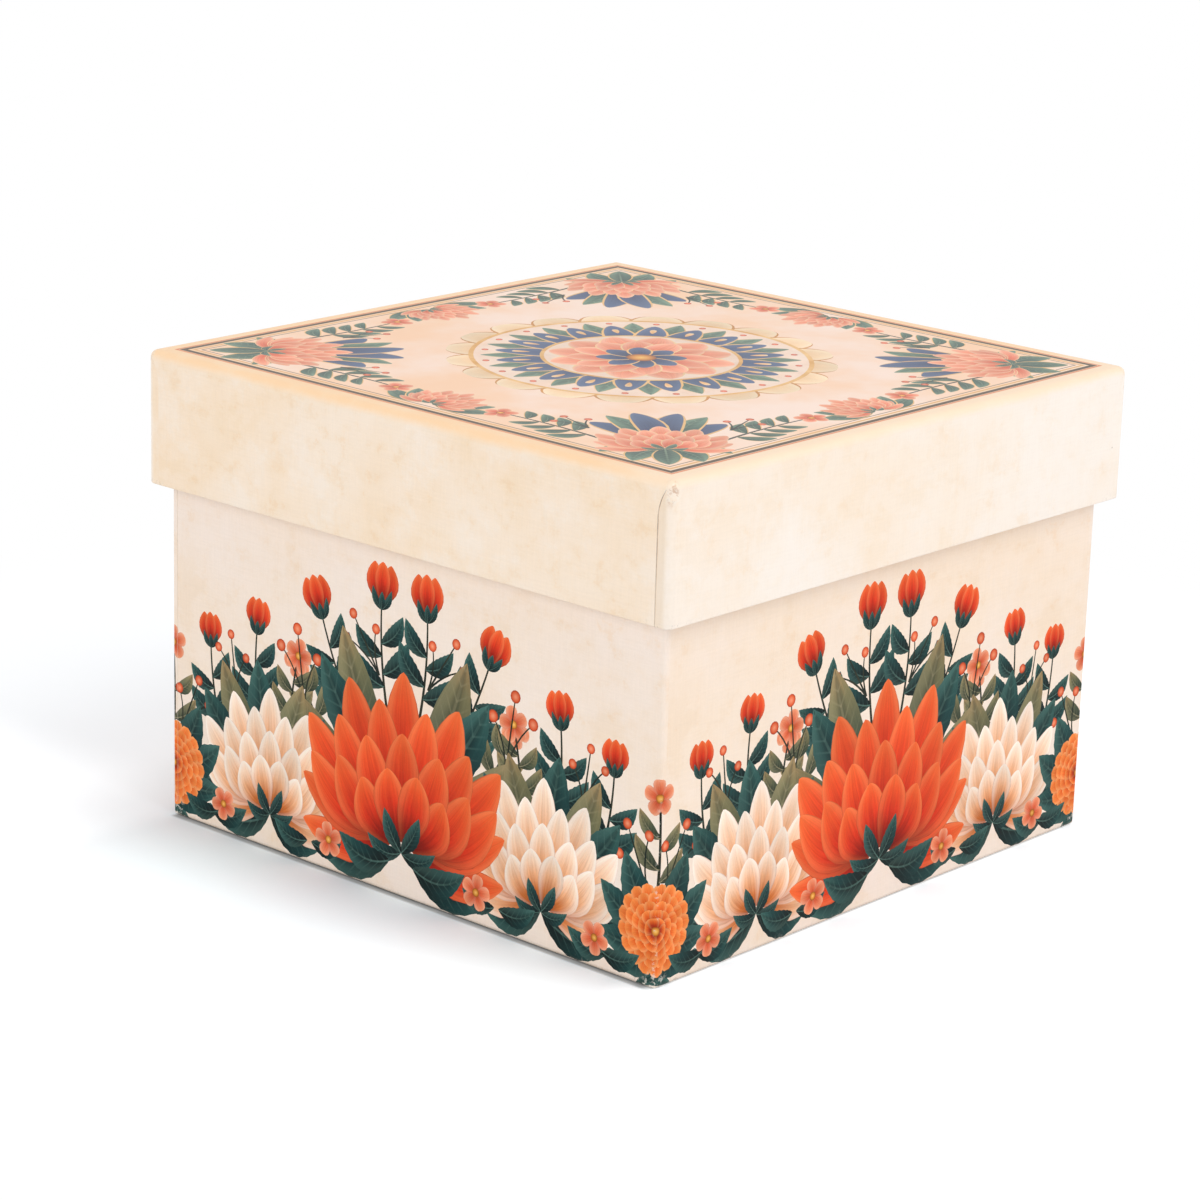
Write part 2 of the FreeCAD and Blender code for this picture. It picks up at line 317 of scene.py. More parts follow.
@dataclass(frozen=True)
class Ink:
    """One colour family of the print, and the form of the shapes drawn with it.

    A petal or leaf is a long shape: its half width at a share t of its length is proportional
    to t ** swell * (1 - t) ** taper, so the shader can find its edges and its middle line.
    """

    name: str
    brush: Brush
    stops: Stops
    shade: str = "000000"
    light: str = "FFFFFF"
    light_amount: float = 0.6
    edge: str = ""
    edge_width: float = 0.1
    swell: float = 0.95
    taper: float = 0.75
    streaks: float = 0.22
    speckle: float = 0.16
    wash: float = 0.2
    teeth: int = 0
    notch: float = 0.93

    def half_width(self, t: Field | float) -> Field | float:
        """Work out how wide a shape is.

        Args:
            t: Share of the length, as a number or over a surface.

        Returns:
            Share of the full half width there.
        """
        peak = self.swell / (self.swell + self.taper)
        widest = peak ** self.swell * (1.0 - peak) ** self.taper
        return t ** self.swell * (1.0 - t) ** self.taper / widest

    def material(self, paper: "PrintPaper") -> bpy.types.Material:
        """Build the ink's material.

        Args:
            paper: Paper that it is printed on.

        Returns:
            The material.
        """
        nodes = Nodes.named(self.name)
        u, v = nodes.flat_map("sheet")
        along, across = nodes.flat_map("petal")
        bow, tone = nodes.flat_map("brush")
        if self.brush in (Brush.PETAL, Brush.LEAF):
            colour = self._long(nodes, along, across, bow, tone)
        elif self.brush is Brush.ROUND:
            reach = (along * along + across * across) ** 0.5
            colour = nodes.ramp(reach, self.stops)
        else:
            cloud = nodes.noise(nodes.spot(u, v), 180.0)
            colour = nodes.ramp(cloud, self.stops)
        speck = nodes.noise(nodes.spot(u, v), 2600.0, 3.0, 0.7)
        wash = nodes.noise(nodes.spot(u, v), 260.0, 3.0)
        gain = 1.0 + tone + (speck - 0.5) * self.speckle + (wash - 0.5) * self.wash
        return paper.print_on(nodes, nodes.brighten(colour, gain), u, v)

    def _long(self, nodes: Nodes, along: Field, across: Field, bow: Field, tone: Field) -> Socket:
        """Colour a petal or a leaf from root to tip and from its middle line to its edges.

        Args:
            nodes: The material's nodes.
            along: Share of the length, 0 at the root.
            across: Distance from the straight axis in half widths.
            bow: How far the middle line bows aside, in half widths.
            tone: Small number that differs from shape to shape.

        Returns:
            The colour.
        """
        t = along.most(0.003).least(0.997)
        width = self.half_width(t)
        side = (across - bow * 4.0 * t * (1.0 - t)) / width.most(0.03)
        off = abs(side)
        lines = nodes.noise(nodes.spot(t * 2.4, side * 6.0, tone * 90.0), 1.0, 3.0, 0.6)
        fine = nodes.noise(nodes.spot(t * 3.0, side * 13.0, tone * 70.0), 1.0, 2.0, 0.6)
        colour = nodes.ramp(t + (lines - 0.5) * self.streaks, self.stops)
        colour = nodes.brighten(colour, 1.0 + (fine - 0.5) * self.streaks * 1.9)
        if self.brush is Brush.PETAL:
            colour = self._petal(nodes, colour, t, side, lines)
        else:
            colour = self._leaf(nodes, colour, t, side, width)
        if self.edge:
            line = off.rise(1.0 - self.edge_width * 1.25, 1.0 - self.edge_width)
            colour = nodes.mix(colour, self.edge, line)
        return colour

    def _petal(self, nodes: Nodes, colour: Socket, t: Field, side: Field, lines: Field) -> Socket:
        """Give a petal its pale rim, its fold along the middle and its fine threads.

        Args:
            nodes: The material's nodes.
            colour: Colour from root to tip.
            t: Share of the length, 0 at the root.
            side: Distance from the middle line, -1 and 1 at the edges.
            lines: Random streaks along the petal.

        Returns:
            The colour.
        """
        off = abs(side)
        rim = off.rise(0.3, 0.97) * (0.1 + t) * self.light_amount
        colour = nodes.mix(colour, self.light, rim)
        fold = (1.0 - abs(side + (lines - 0.5) * 0.3).rise(0.0, 0.24)) * (0.95 - t) * 0.5
        colour = nodes.mix(colour, self.shade, fold)
        thread = 1.0 - abs((side * 4.0 + (lines - 0.5) * 1.4).part() - 0.5).rise(0.03, 0.2)
        colour = nodes.mix(colour, self.shade, thread * (1.0 - t) * 0.3)
        return nodes.mix(colour, self.shade, off.rise(0.9, 1.0) * 0.5)

    def _leaf(self, nodes: Nodes, colour: Socket, t: Field, side: Field, width: Field) -> Socket:
        """Give a leaf its dark middle, one lit half, ribs and a pale middle line.

        Args:
            nodes: The material's nodes.
            colour: Colour from root to tip.
            t: Share of the length, 0 at the root.
            side: Distance from the middle line, -1 and 1 at the edges.
            width: Share of the full half width.

        Returns:
            The colour.
        """
        off = abs(side)
        colour = nodes.mix(colour, self.shade, (1.0 - off.rise(0.0, 0.55)) * 0.5)
        sway = (t * 8.0 - off * 1.6 * width).part()
        ribs = (1.0 - abs(sway - 0.5).rise(0.02, 0.15)) * (1.0 - off).most(0.0) * 0.4
        lit = side.rise(-0.1, 0.9) * 0.4
        colour = nodes.mix(colour, self.light, (lit + ribs) * self.light_amount)
        middle = 1.0 - (off * width).rise(0.03, 0.1)
        return nodes.mix(colour, self.light, middle * (1.05 - t) * self.light_amount)


ORANGE = Ink(
    "orange_petal_ink", Brush.PETAL,
    ((0.0, "4A0A04"), (0.3, "961A0A"), (0.55, "DA361A"), (0.8, "EA5226"), (1.0, "F16C36")),
    shade="7A1408", light="F78A54", light_amount=0.55, swell=1.0, taper=0.72,
)
CREAM = Ink(
    "cream_petal_ink", Brush.PETAL,
    ((0.0, "843410"), (0.3, "CC7238"), (0.58, "F1B184"), (0.82, "FAD6B8"), (1.0, "FEECDC")),
    shade="AE5624", light="FFF3E6", light_amount=0.8, swell=1.0, taper=0.72,
)
CORAL = Ink(
    "coral_petal_ink", Brush.PETAL, ((0.0, "A63A1E"), (0.4, "DE6440"), (1.0, "F29870")),
    shade="B84826", light="FAC0A0", light_amount=0.6, swell=0.85, taper=0.42,
)
TAGETES = Ink(
    "marigold_petal_ink", Brush.PETAL,
    ((0.0, "741A06"), (0.5, "B83814"), (0.75, "E86424"), (1.0, "F68E46")),
    shade="86220A", light="FCB070", light_amount=0.65, swell=1.0, taper=0.4,
)
TEAL = Ink(
    "teal_leaf_ink", Brush.LEAF, ((0.0, "06100F"), (0.3, "0F2626"), (0.65, "1B3F3E"), (1.0, "3A625B")),
    shade="060F10", light="6E968A", light_amount=0.42, swell=0.8, taper=0.95, teeth=11,
)
OLIVE = Ink(
    "olive_leaf_ink", Brush.LEAF, ((0.0, "1E2A22"), (0.4, "4A523E"), (0.75, "7A7452"), (1.0, "A4865C")),
    shade="262E24", light="B8AC86", light_amount=0.5, swell=0.8, taper=0.95,
)
STEM = Ink("stem_ink", Brush.FLAT, ((0.3, "16201C"), (0.7, "37382A")))
GOLD = Ink("gold_ink", Brush.FLAT, ((0.3, "D69A4C"), (0.7, "F0C484")))
SEED = Ink("seed_ink", Brush.ROUND, ((0.0, "F7C66A"), (0.55, "DE9038"), (1.0, "8E4818")))
BERRY = Ink("berry_ink", Brush.ROUND, ((0.0, "F59A74"), (0.7, "DE5C34"), (1.0, "9E3820")))
NAVY = Ink(
    "navy_petal_ink", Brush.PETAL, ((0.0, "222C48"), (0.5, "364466"), (1.0, "54688A")),
    shade="1E263E", light="7A8CA8", light_amount=0.3, edge="EBBB7C", edge_width=0.15, swell=0.9, taper=0.62,
    streaks=0.1,
)
DEEP = Ink(
    "deep_leaf_ink", Brush.LEAF, ((0.0, "26403A"), (0.6, "466256"), (1.0, "74907C")),
    shade="223A34", light="A4B898", light_amount=0.5, edge="EBBB7C", edge_width=0.13, swell=0.85, taper=0.8,
    streaks=0.1,
)
ROSE = Ink(
    "rose_petal_ink", Brush.PETAL, ((0.0, "B8442A"), (0.45, "E4704E"), (1.0, "F6AA88")),
    shade="C8502E", light="FCD2B8", light_amount=0.5, edge="F3CC98", edge_width=0.1, swell=0.95, taper=0.6,
)
LOBE = Ink(
    "gold_lobe_ink", Brush.PETAL, ((0.0, "EBAE6C"), (0.8, "F0C08A"), (1.0, "F8DCB8")),
    shade="E0A060", light="FCE8CC", light_amount=0.5, edge="CE8C40", edge_width=0.1, swell=0.8, taper=0.35,
    streaks=0.05,
)
FIELD = Ink("field_tint_ink", Brush.FLAT, ((0.3, "FAD8C0"), (0.7, "FDE4D2")))


@dataclass(frozen=True)
class Mark:
    """One drawn shape of the print, with the axes its ink is brushed along."""

    outline: tuple[Vector, ...]
    ink: Ink
    root: Vector
    axis: Vector
    length: float
    width: float
    bow: float
    tone: float

    def own(self, point: Vector) -> Point:
        """Measure a point from the shape's root.

        Args:
            point: Point on the sheet.

        Returns:
            Its place along the shape in lengths, and across it in half widths.
        """
        away = point - self.root
        side = Vector((-self.axis.y, self.axis.x))
        return away.dot(self.axis) / self.length, away.dot(side) / self.width


class Artwork:
    """A print on the flat sheet, in millimetres: shapes in the order in which they are laid."""

    def __init__(self) -> None:
        """Start with an empty sheet."""
        self.marks: list[Mark] = []

    def lay(
        self, ink: Ink, outline: list[Vector], root: Vector, axis: Vector = UPWARDS, length: float = 1.0,
        width: float = 1.0, bow: float = 0.0,
    ) -> None:
        """Lay a shape over the ones before it, a little lighter or darker than its neighbours.

        Args:
            ink: Its ink.
            outline: Its corners on the sheet.
            root: Where it starts.
            axis: Its direction.
            length: Root to tip.
            width: Half width at the widest.
            bow: How far its middle bows aside, in half widths.
        """
        tone = ((len(self.marks) * GOLDEN) % 1.0 - 0.5) * 0.2
        self.marks.append(Mark(tuple(outline), ink, root, axis, length, width, bow, tone))

    def inks(self) -> list[Ink]:
        """List the inks in the order of first use."""
        return list(dict.fromkeys(mark.ink for mark in self.marks))


@dataclass(frozen=True)
class Pen:
    """A place on the sheet to draw from. Up is the way the motif grows; lean is clockwise from it."""

    art: Artwork
    x: float = 0.0
    y: float = 0.0
    turn: float = 0.0
    scale: float = 1.0
    mirror: int = 1

    def at(self, x: float, y: float) -> Vector:
        """Place a point of the motif.

        Args:
            x: To the right of the pen.
            y: Upwards from the pen.

        Returns:
            The point on the sheet.
        """
        angle = math.radians(self.turn)
        across = x * self.mirror * self.scale
        up = y * self.scale
        return Vector((
            self.x + across * math.cos(angle) + up * math.sin(angle),
            self.y - across * math.sin(angle) + up * math.cos(angle),
        ))

    def move(self, x: float, y: float, turn: float = 0.0, scale: float = 1.0, mirror: int = 1) -> "Pen":
        """Go to another place.

        Args:
            x: To the right of this one.
            y: Upwards from this one.
            turn: Turn in degrees, clockwise.
            scale: Scale against this one's.
            mirror: -1 to draw in mirror image.

        Returns:
            A pen at that place.
        """
        spot = self.at(x, y)
        turned = self.turn + turn * self.mirror
        return Pen(self.art, spot.x, spot.y, turned, self.scale * scale, self.mirror * mirror)

    def petal(
        self, ink: Ink, x: float, y: float, lean: float, length: float, width: float, bow: float = 0.0,
        points: int = 11,
    ) -> None:
        """Draw a petal or a leaf.

        Args:
            ink: Ink that gives its form and colours.
            x: Root, to the right.
            y: Root, upwards.
            lean: Direction in degrees, clockwise from up.
            length: Root to tip.
            width: Half width at the widest.
            bow: How far its middle bows to the left of its direction, in half widths.
            points: Steps along each side.
        """
        angle = math.radians(self.turn + lean * self.mirror)
        axis = Vector((math.sin(angle), math.cos(angle)))
        side = Vector((-axis.y, axis.x))
        root = self.at(x, y)
        long = length * self.scale
        wide = width * self.scale
        bend = bow * self.mirror
        steps = 2 * ink.teeth if ink.teeth else points
        right: list[Vector] = []
        left: list[Vector] = []
        for step in range(steps + 1):
            t = 0.5 - 0.5 * math.cos(math.pi * step / steps)
            middle = bend * 4.0 * t * (1.0 - t)
            half = ink.half_width(t)
            if ink.teeth and step % 2:
                half *= ink.notch
            right.append(root + axis * (t * long) + side * ((middle - half) * wide))
            left.append(root + axis * (t * long) + side * ((middle + half) * wide))
        self.art.lay(ink, right + left[-2:0:-1], root, axis, long, wide, bend)

    def disc(self, ink: Ink, x: float, y: float, radius: float, points: int = 14) -> None:
        """Draw a round spot.

        Args:
            ink: Ink of the spot.
            x: Middle, to the right.
            y: Middle, upwards.
            radius: Its radius.
            points: Corners of its outline.
        """
        middle = self.at(x, y)
        size = radius * self.scale
        angles = [2.0 * math.pi * step / points for step in range(points)]
        outline = [middle + size * Vector((math.cos(angle), math.sin(angle))) for angle in angles]
        self.art.lay(ink, outline, middle, length=size, width=size)

    def stem(self, ink: Ink, path: tuple[Point, Point, Point], width: float, points: int = 9) -> None:
        """Draw a stem along a curve, thinner at its end.

        Args:
            ink: Ink of the stem.
            path: Start, pull and end of the curve.
            width: Width at the start.
            points: Steps along it.
        """
        start, pull, end = (self.at(*spot) for spot in path)
        right: list[Vector] = []
        left: list[Vector] = []
        for step in range(points + 1):
            t = step / points
            spot = start * (1.0 - t) ** 2 + pull * (2.0 * t * (1.0 - t)) + end * t ** 2
            way = ((pull - start) * (1.0 - t) + (end - pull) * t).normalized()
            half = Vector((-way.y, way.x)) * (width * self.scale * (0.5 - 0.22 * t))
            right.append(spot - half)
            left.append(spot + half)
        self.art.lay(ink, right + left[::-1], start)


def spread(count: int, reach: float) -> list[float]:
    """Spread leans evenly from one side to the other, outermost first and the middle last.

    Args:
        count: How many.
        reach: Lean of the outermost, in degrees.

    Returns:
        The leans.
    """
    leans = [reach * (2.0 * step / (count - 1) - 1.0) for step in range(count)]
    return sorted(leans, key=lambda lean: -abs(lean))


def lotus(pen: Pen, ink: Ink, size: float, leaf: Ink) -> None:
    """Draw an open lotus from the side, in rows of pointed petals on a green cup.

    Args:
        pen: Foot of the flower.
        ink: Ink of the petals.
        size: Height of the flower.
        leaf: Ink of the cup.
    """
    for lean in (100.0, -100.0, 80.0, -80.0):
        pen.petal(ink, 0.0, size * 0.12, lean, size * 0.88, size * 0.13, -1.0 if lean > 0 else 1.0)
    for count, reach, length, width, root in (
        (5, 54.0, 1.0, 0.155, 0.12), (6, 64.0, 0.87, 0.15, 0.07), (5, 50.0, 0.7, 0.15, 0.03),
        (4, 40.0, 0.5, 0.14, 0.0),
    ):
        for lean in spread(count, reach):
            pen.petal(
                ink, lean * size * 0.0012, size * root, lean, size * length * (1.0 - abs(lean) * 0.0012),
                size * width, -lean / 75.0,
            )
    for lean in (78.0, -78.0, 30.0, -30.0):
        pen.petal(leaf, 0.0, -size * 0.04, lean, size * 0.3, size * 0.06, -lean / 80.0)


def bud(pen: Pen, ink: Ink, size: float, leaf: Ink) -> None:
    """Draw a closed bud in its green cup.

    Args:
        pen: Foot of the bud.
        ink: Ink of the petals.
        size: Height of the bud.
        leaf: Ink of the cup.
    """
    for lean in (15.0, -15.0, 0.0):
        pen.petal(ink, 0.0, 0.0, lean, size, size * 0.24, -lean / 30.0)
    for lean in (30.0, -30.0, 0.0):
        pen.petal(leaf, 0.0, -size * 0.1, lean, size * (0.58 if lean else 0.42), size * 0.1, -lean / 50.0)


def marigold(pen: Pen, ink: Ink, radius: float) -> None:
    """Draw a full round flower from the front, in rings of short petals.

    Args:
        pen: Middle of the flower.
        ink: Ink of the petals.
        radius: Radius of the outer ring.
    """
    for ring, count in ((1.0, 17), (0.82, 15), (0.64, 12), (0.46, 9), (0.28, 6)):
        for step in range(count):
            lean = 360.0 * (step + ring * 2.3) / count
            pen.petal(ink, 0.0, 0.0, lean, radius * ring, radius * ring * 3.6 / count, 0.0, 7)
    pen.disc(SEED, 0.0, 0.0, radius * 0.1, 10)


def blossom(pen: Pen, ink: Ink, radius: float) -> None:
    """Draw a small five-petalled blossom.

    Args:
        pen: Middle of the blossom.
        ink: Ink of the petals.
        radius: Length of a petal.
    """
    for step in range(5):
        pen.petal(ink, 0.0, 0.0, 72.0 * step, radius, radius * 0.4, 0.0, 8)
    pen.disc(SEED, 0.0, 0.0, radius * 0.24, 10)


def spray(pen: Pen, leaf: Ink, length: float, pairs: int, size: float, bow: float) -> Pen:
    """Draw a bowed stem with leaves that shrink towards its end.

    Args:
        pen: Foot of the stem.
        leaf: Ink of the leaves.
        length: Height of the stem.
        pairs: Pairs of leaves.
        size: Length of the lowest leaf.
        bow: How far the stem's middle bows to the right.

    Returns:
        A pen at the stem's end, turned as the stem ends.
    """
    pen.stem(STEM, ((0.0, 0.0), (bow, length * 0.5), (0.0, length)), 0.65)
    for pair in range(pairs):
        for lean, share in ((50.0, 0.22 + 0.58 * pair / pairs), (-46.0, 0.34 + 0.58 * pair / pairs)):
            across = 2.0 * share * (1.0 - share) * bow
            long = size * (1.0 - 0.3 * pair / pairs)
            pen.petal(leaf, across, share * length, lean, long, long * 0.23, -lean / 80.0)
    return pen.move(0.0, length, math.degrees(math.atan2(-2.0 * bow, length)))


def berries(pen: Pen, length: float) -> None:
    """Draw a thin forked twig with three berries.

    Args:
        pen: Foot of the twig.
        length: Height of the twig.
    """
    for x, y in ((0.0, length), (length * 0.34, length * 0.76), (-length * 0.32, length * 0.62)):
        pen.stem(STEM, ((0.0, 0.0), (x * 0.2, y * 0.6), (x, y)), 0.45, 6)
        pen.disc(BERRY, x, y, length * 0.085, 12)


@dataclass
class WallPrint:
    """Lotus border that grows from the foot of the walls and runs on round the corners."""

    pitch: float
    lotus_size: float = 29.0
    side_lotus_size: float = 21.0
    reach: float = 64.0

    def draw(self) -> Artwork:
        """Draw the border of one wall, with what reaches round its corners from its neighbours.

        Returns:
            The print, with the wall's foot at height 0 and its middle at 0.
        """
        art = Artwork()
        middles = [Pen(art, shift * self.pitch) for shift in (-1, 0, 1)]
        halves = [middle.move(0.0, 0.0, 0.0, 1.0, side) for middle in middles for side in (-1, 1)]
        corners = [Pen(art, shift * self.pitch) for shift in (-0.5, 0.5)]
        for half in halves:
            self._sprays(half)
        for corner in corners:
            self._corner_sprays(corner)
        for half in halves:
            self._leaves(half)
        for half in halves:
            lotus(half.move(34.0, 7.6), CREAM, self.side_lotus_size, TEAL)
        for corner in corners:
            self._corner_flower(corner)
        lotus(Pen(art, 0.0, 9.5), ORANGE, self.lotus_size, TEAL)
        for half in halves:
            self._front(half)
        art.marks = [
            mark for mark in art.marks if min(abs(spot.x) for spot in mark.outline) < self.reach
        ]
        return art

    def _sprays(self, pen: Pen) -> None:
        """Draw the stems with buds and leaves that rise behind the flowers of half a wall.

        Args:
            pen: Foot of the wall's middle.
        """
        for x, y, turn, length, pairs, leaf, size in (
            (4.0, 34.0, 5.0, 19.0, 2, 9.5, 8.0), (11.0, 28.0, 26.0, 22.0, 3, 9.5, 7.5),
            (37.0, 24.0, 2.0, 17.0, 2, 8.5, 6.5), (47.0, 19.0, 10.0, 17.0, 2, 8.5, 6.2),
        ):
            bud(spray(pen.move(x, y, turn), TEAL, length, pairs, leaf, 1.2), ORANGE, size, TEAL)
        for x, y, turn, length in ((19.0, 24.0, 30.0, 16.0), (29.0, 24.0, -9.0, 15.0)):
            blossom(spray(pen.move(x, y, turn), OLIVE, length, 2, 7.0, 0.8), CORAL, 3.4)
        berries(pen.move(25.0, 30.0, 8.0), 14.0)
        berries(pen.move(43.0, 28.0, 8.0), 11.0)
        berries(pen.move(6.0, 40.0, 34.0), 12.0)

    def _leaves(self, pen: Pen) -> None:
        """Draw the broad leaves round the flowers of half a wall.

        Args:
            pen: Foot of the wall's middle.
        """
        for ink, x, y, lean, length, width in (
            (OLIVE, 6.0, 24.0, 22.0, 25.0, 4.4), (TEAL, 6.0, 22.0, 38.0, 24.0, 4.6),
            (OLIVE, 8.0, 16.0, 50.0, 25.0, 4.2), (TEAL, 8.0, 15.0, 62.0, 23.0, 4.6),
            (TEAL, 8.0, 11.0, 80.0, 20.0, 4.4), (OLIVE, 33.0, 15.0, -22.0, 20.0, 3.8),
            (TEAL, 32.0, 14.0, -40.0, 19.0, 4.0), (TEAL, 30.0, 10.0, -70.0, 15.0, 3.8),
            (TEAL, 34.0, 16.0, 10.0, 20.0, 4.2), (OLIVE, 37.0, 15.0, 28.0, 21.0, 3.8),
            (TEAL, 38.0, 14.0, 46.0, 19.0, 4.0), (TEAL, 40.0, 9.0, 74.0, 18.0, 3.8),
            (TEAL, 2.0, 8.0, 98.0, 21.0, 3.6), (TEAL, 34.0, 7.0, 98.0, 17.0, 3.2),
            (TEAL, 34.0, 7.0, -98.0, 15.0, 3.2),
        ):
            pen.petal(ink, x, y, lean, length, width, -lean / 130.0)

    def _corner_sprays(self, pen: Pen) -> None:
        """Draw the stems that rise behind the flower on a corner.

        Args:
            pen: Foot of the corner.
        """
        blossom(spray(pen.move(0.0, 15.0), OLIVE, 19.0, 2, 7.5, 0.6), CORAL, 3.4)
        for side in (1, -1):
            berries(pen.move(2.0 * side, 17.0, 24.0 * side), 12.0)

    def _corner_flower(self, pen: Pen) -> None:
        """Draw the round flower that wraps a corner, on its leaves.

        Args:
            pen: Foot of the corner.
        """
        for lean, length in ((64.0, 14.0), (30.0, 14.5), (158.0, 11.2), (128.0, 12.6), (100.0, 13.4)):
            for side in (1, -1):
                pen.petal(TEAL, 0.0, 10.5, lean * side, length, length * 0.24, -lean * side / 130.0)
        marigold(pen.move(0.0, 10.5), TAGETES, 8.4)

    def _front(self, pen: Pen) -> None:
        """Draw the low leaves and blossoms in front of the flowers of half a wall.

        Args:
            pen: Foot of the wall's middle.
        """
        for x, y, lean, length in (
            (3.0, 6.2, 80.0, 13.0), (23.0, 4.4, -78.0, 8.0), (24.0, 4.4, 76.0, 9.0),
            (50.0, 4.0, -78.0, 10.0), (48.0, 3.8, 80.0, 9.0),
        ):
            pen.petal(TEAL, x, y, lean, length, length * 0.22, -lean / 100.0)
        blossom(pen.move(18.5, 6.0, 10.0), CORAL, 3.4)
        blossom(pen.move(46.5, 5.6, 30.0), CORAL, 3.2)


@dataclass
class LidPrint:
    """Round medallion on the lid's top, with a flower in each corner of its frame."""

    field_half: float = 57.0
    medallion: float = 31.0

    def draw(self) -> Artwork:
        """Draw the lid's picture.

        Returns:
            The print, with the lid's middle at 0.
        """
        art = Artwork()
        sides = [Pen(art, turn=90.0 * number) for number in range(4)]
        for side in sides:
            self._side(side.move(0.0, -self.field_half))
        for side in sides:
            self._corner(side.move(self.field_half, self.field_half, 225.0))
        self._medallion(Pen(art))
        return art

    def _corner(self, pen: Pen) -> None:
        """Draw one corner's lotus, and the sprays that run from it along the frame.

        Args:
            pen: Corner of the field, turned to the middle.
        """
        for side in (1, -1):
            half = pen.move(0.0, 0.0, 0.0, 1.0, side)
            end = spray(half.move(9.0, 17.0, 43.0), DEEP, 26.0, 4, 7.0, -1.5)
            blossom(end, ROSE, 3.2)
            berries(half.move(12.0, 26.0, 26.0), 9.0)
            for lean, length in ((34.0, 18.0), (20.0, 21.0), (6.0, 22.0)):
                half.petal(NAVY if lean != 20.0 else DEEP, 1.5, 15.5, lean, length, 3.0, 0.5)
            half.petal(DEEP, 0.0, 13.0, 104.0, 11.5, 2.8, 0.8)
            half.petal(DEEP, 0.0, 13.0, 146.0, 10.5, 2.8, 0.5)
        pen.petal(DEEP, 0.0, 13.0, 180.0, 11.0, 2.6)
        lotus(pen.move(0.0, 13.0), ROSE, 13.5, DEEP)

    def _side(self, pen: Pen) -> None:
        """Draw the small flower at the middle of one side of the frame.

        Args:
            pen: Middle of the side, turned to the middle.
        """
        for side in (1, -1):
            half = pen.move(0.0, 0.0, 0.0, 1.0, side)
            for lean, length in ((80.0, 13.0), (58.0, 11.0)):
                half.petal(DEEP, 0.0, 3.0, lean, length, 2.3, -0.6)
        lotus(pen.move(0.0, 3.0), ROSE, 9.0, DEEP)

    def _medallion(self, pen: Pen) -> None:
        """Draw the round ornament in the middle, ring by ring.

        Args:
            pen: Middle of the lid.
        """
        size = self.medallion
        for step in range(20):
            pen.petal(LOBE, 0.0, 0.0, 18.0 * step, size * 1.16, size * 0.2, 0.0, 24)
        pen.disc(GOLD, 0.0, 0.0, size * 1.02, 72)
        pen.disc(FIELD, 0.0, 0.0, size * 0.99, 72)
        for step in range(20):
            spot = pen.move(0.0, 0.0, 18.0 * step)
            spot.petal(DEEP, 0.0, 0.0, 9.0, size * 0.95, size * 0.12)
            spot.disc(BERRY, 0.0, size * 0.93, size * 0.022, 10)
        for step in range(20):
            spot = pen.move(0.0, 0.0, 18.0 * step)
            spot.petal(NAVY, 0.0, 0.0, 0.0, size * 0.87, size * 0.115)
            spot.petal(LOBE, 0.0, size * 0.66, 0.0, size * 0.11, size * 0.022, 0.0, 7)
        pen.disc(GOLD, 0.0, 0.0, size * 0.6, 56)
        pen.disc(FIELD, 0.0, 0.0, size * 0.575, 56)
        for shift, reach in ((0.0, 0.56), (0.5, 0.44)):
            for step in range(12):
                pen.petal(ROSE, 0.0, 0.0, 30.0 * (step + shift), size * reach, size * reach * 0.25)
        for step in range(8):
            pen.petal(NAVY, 0.0, 0.0, 45.0 * step, size * 0.27, size * 0.08)
        pen.disc(SEED, 0.0, 0.0, size * 0.09, 20)


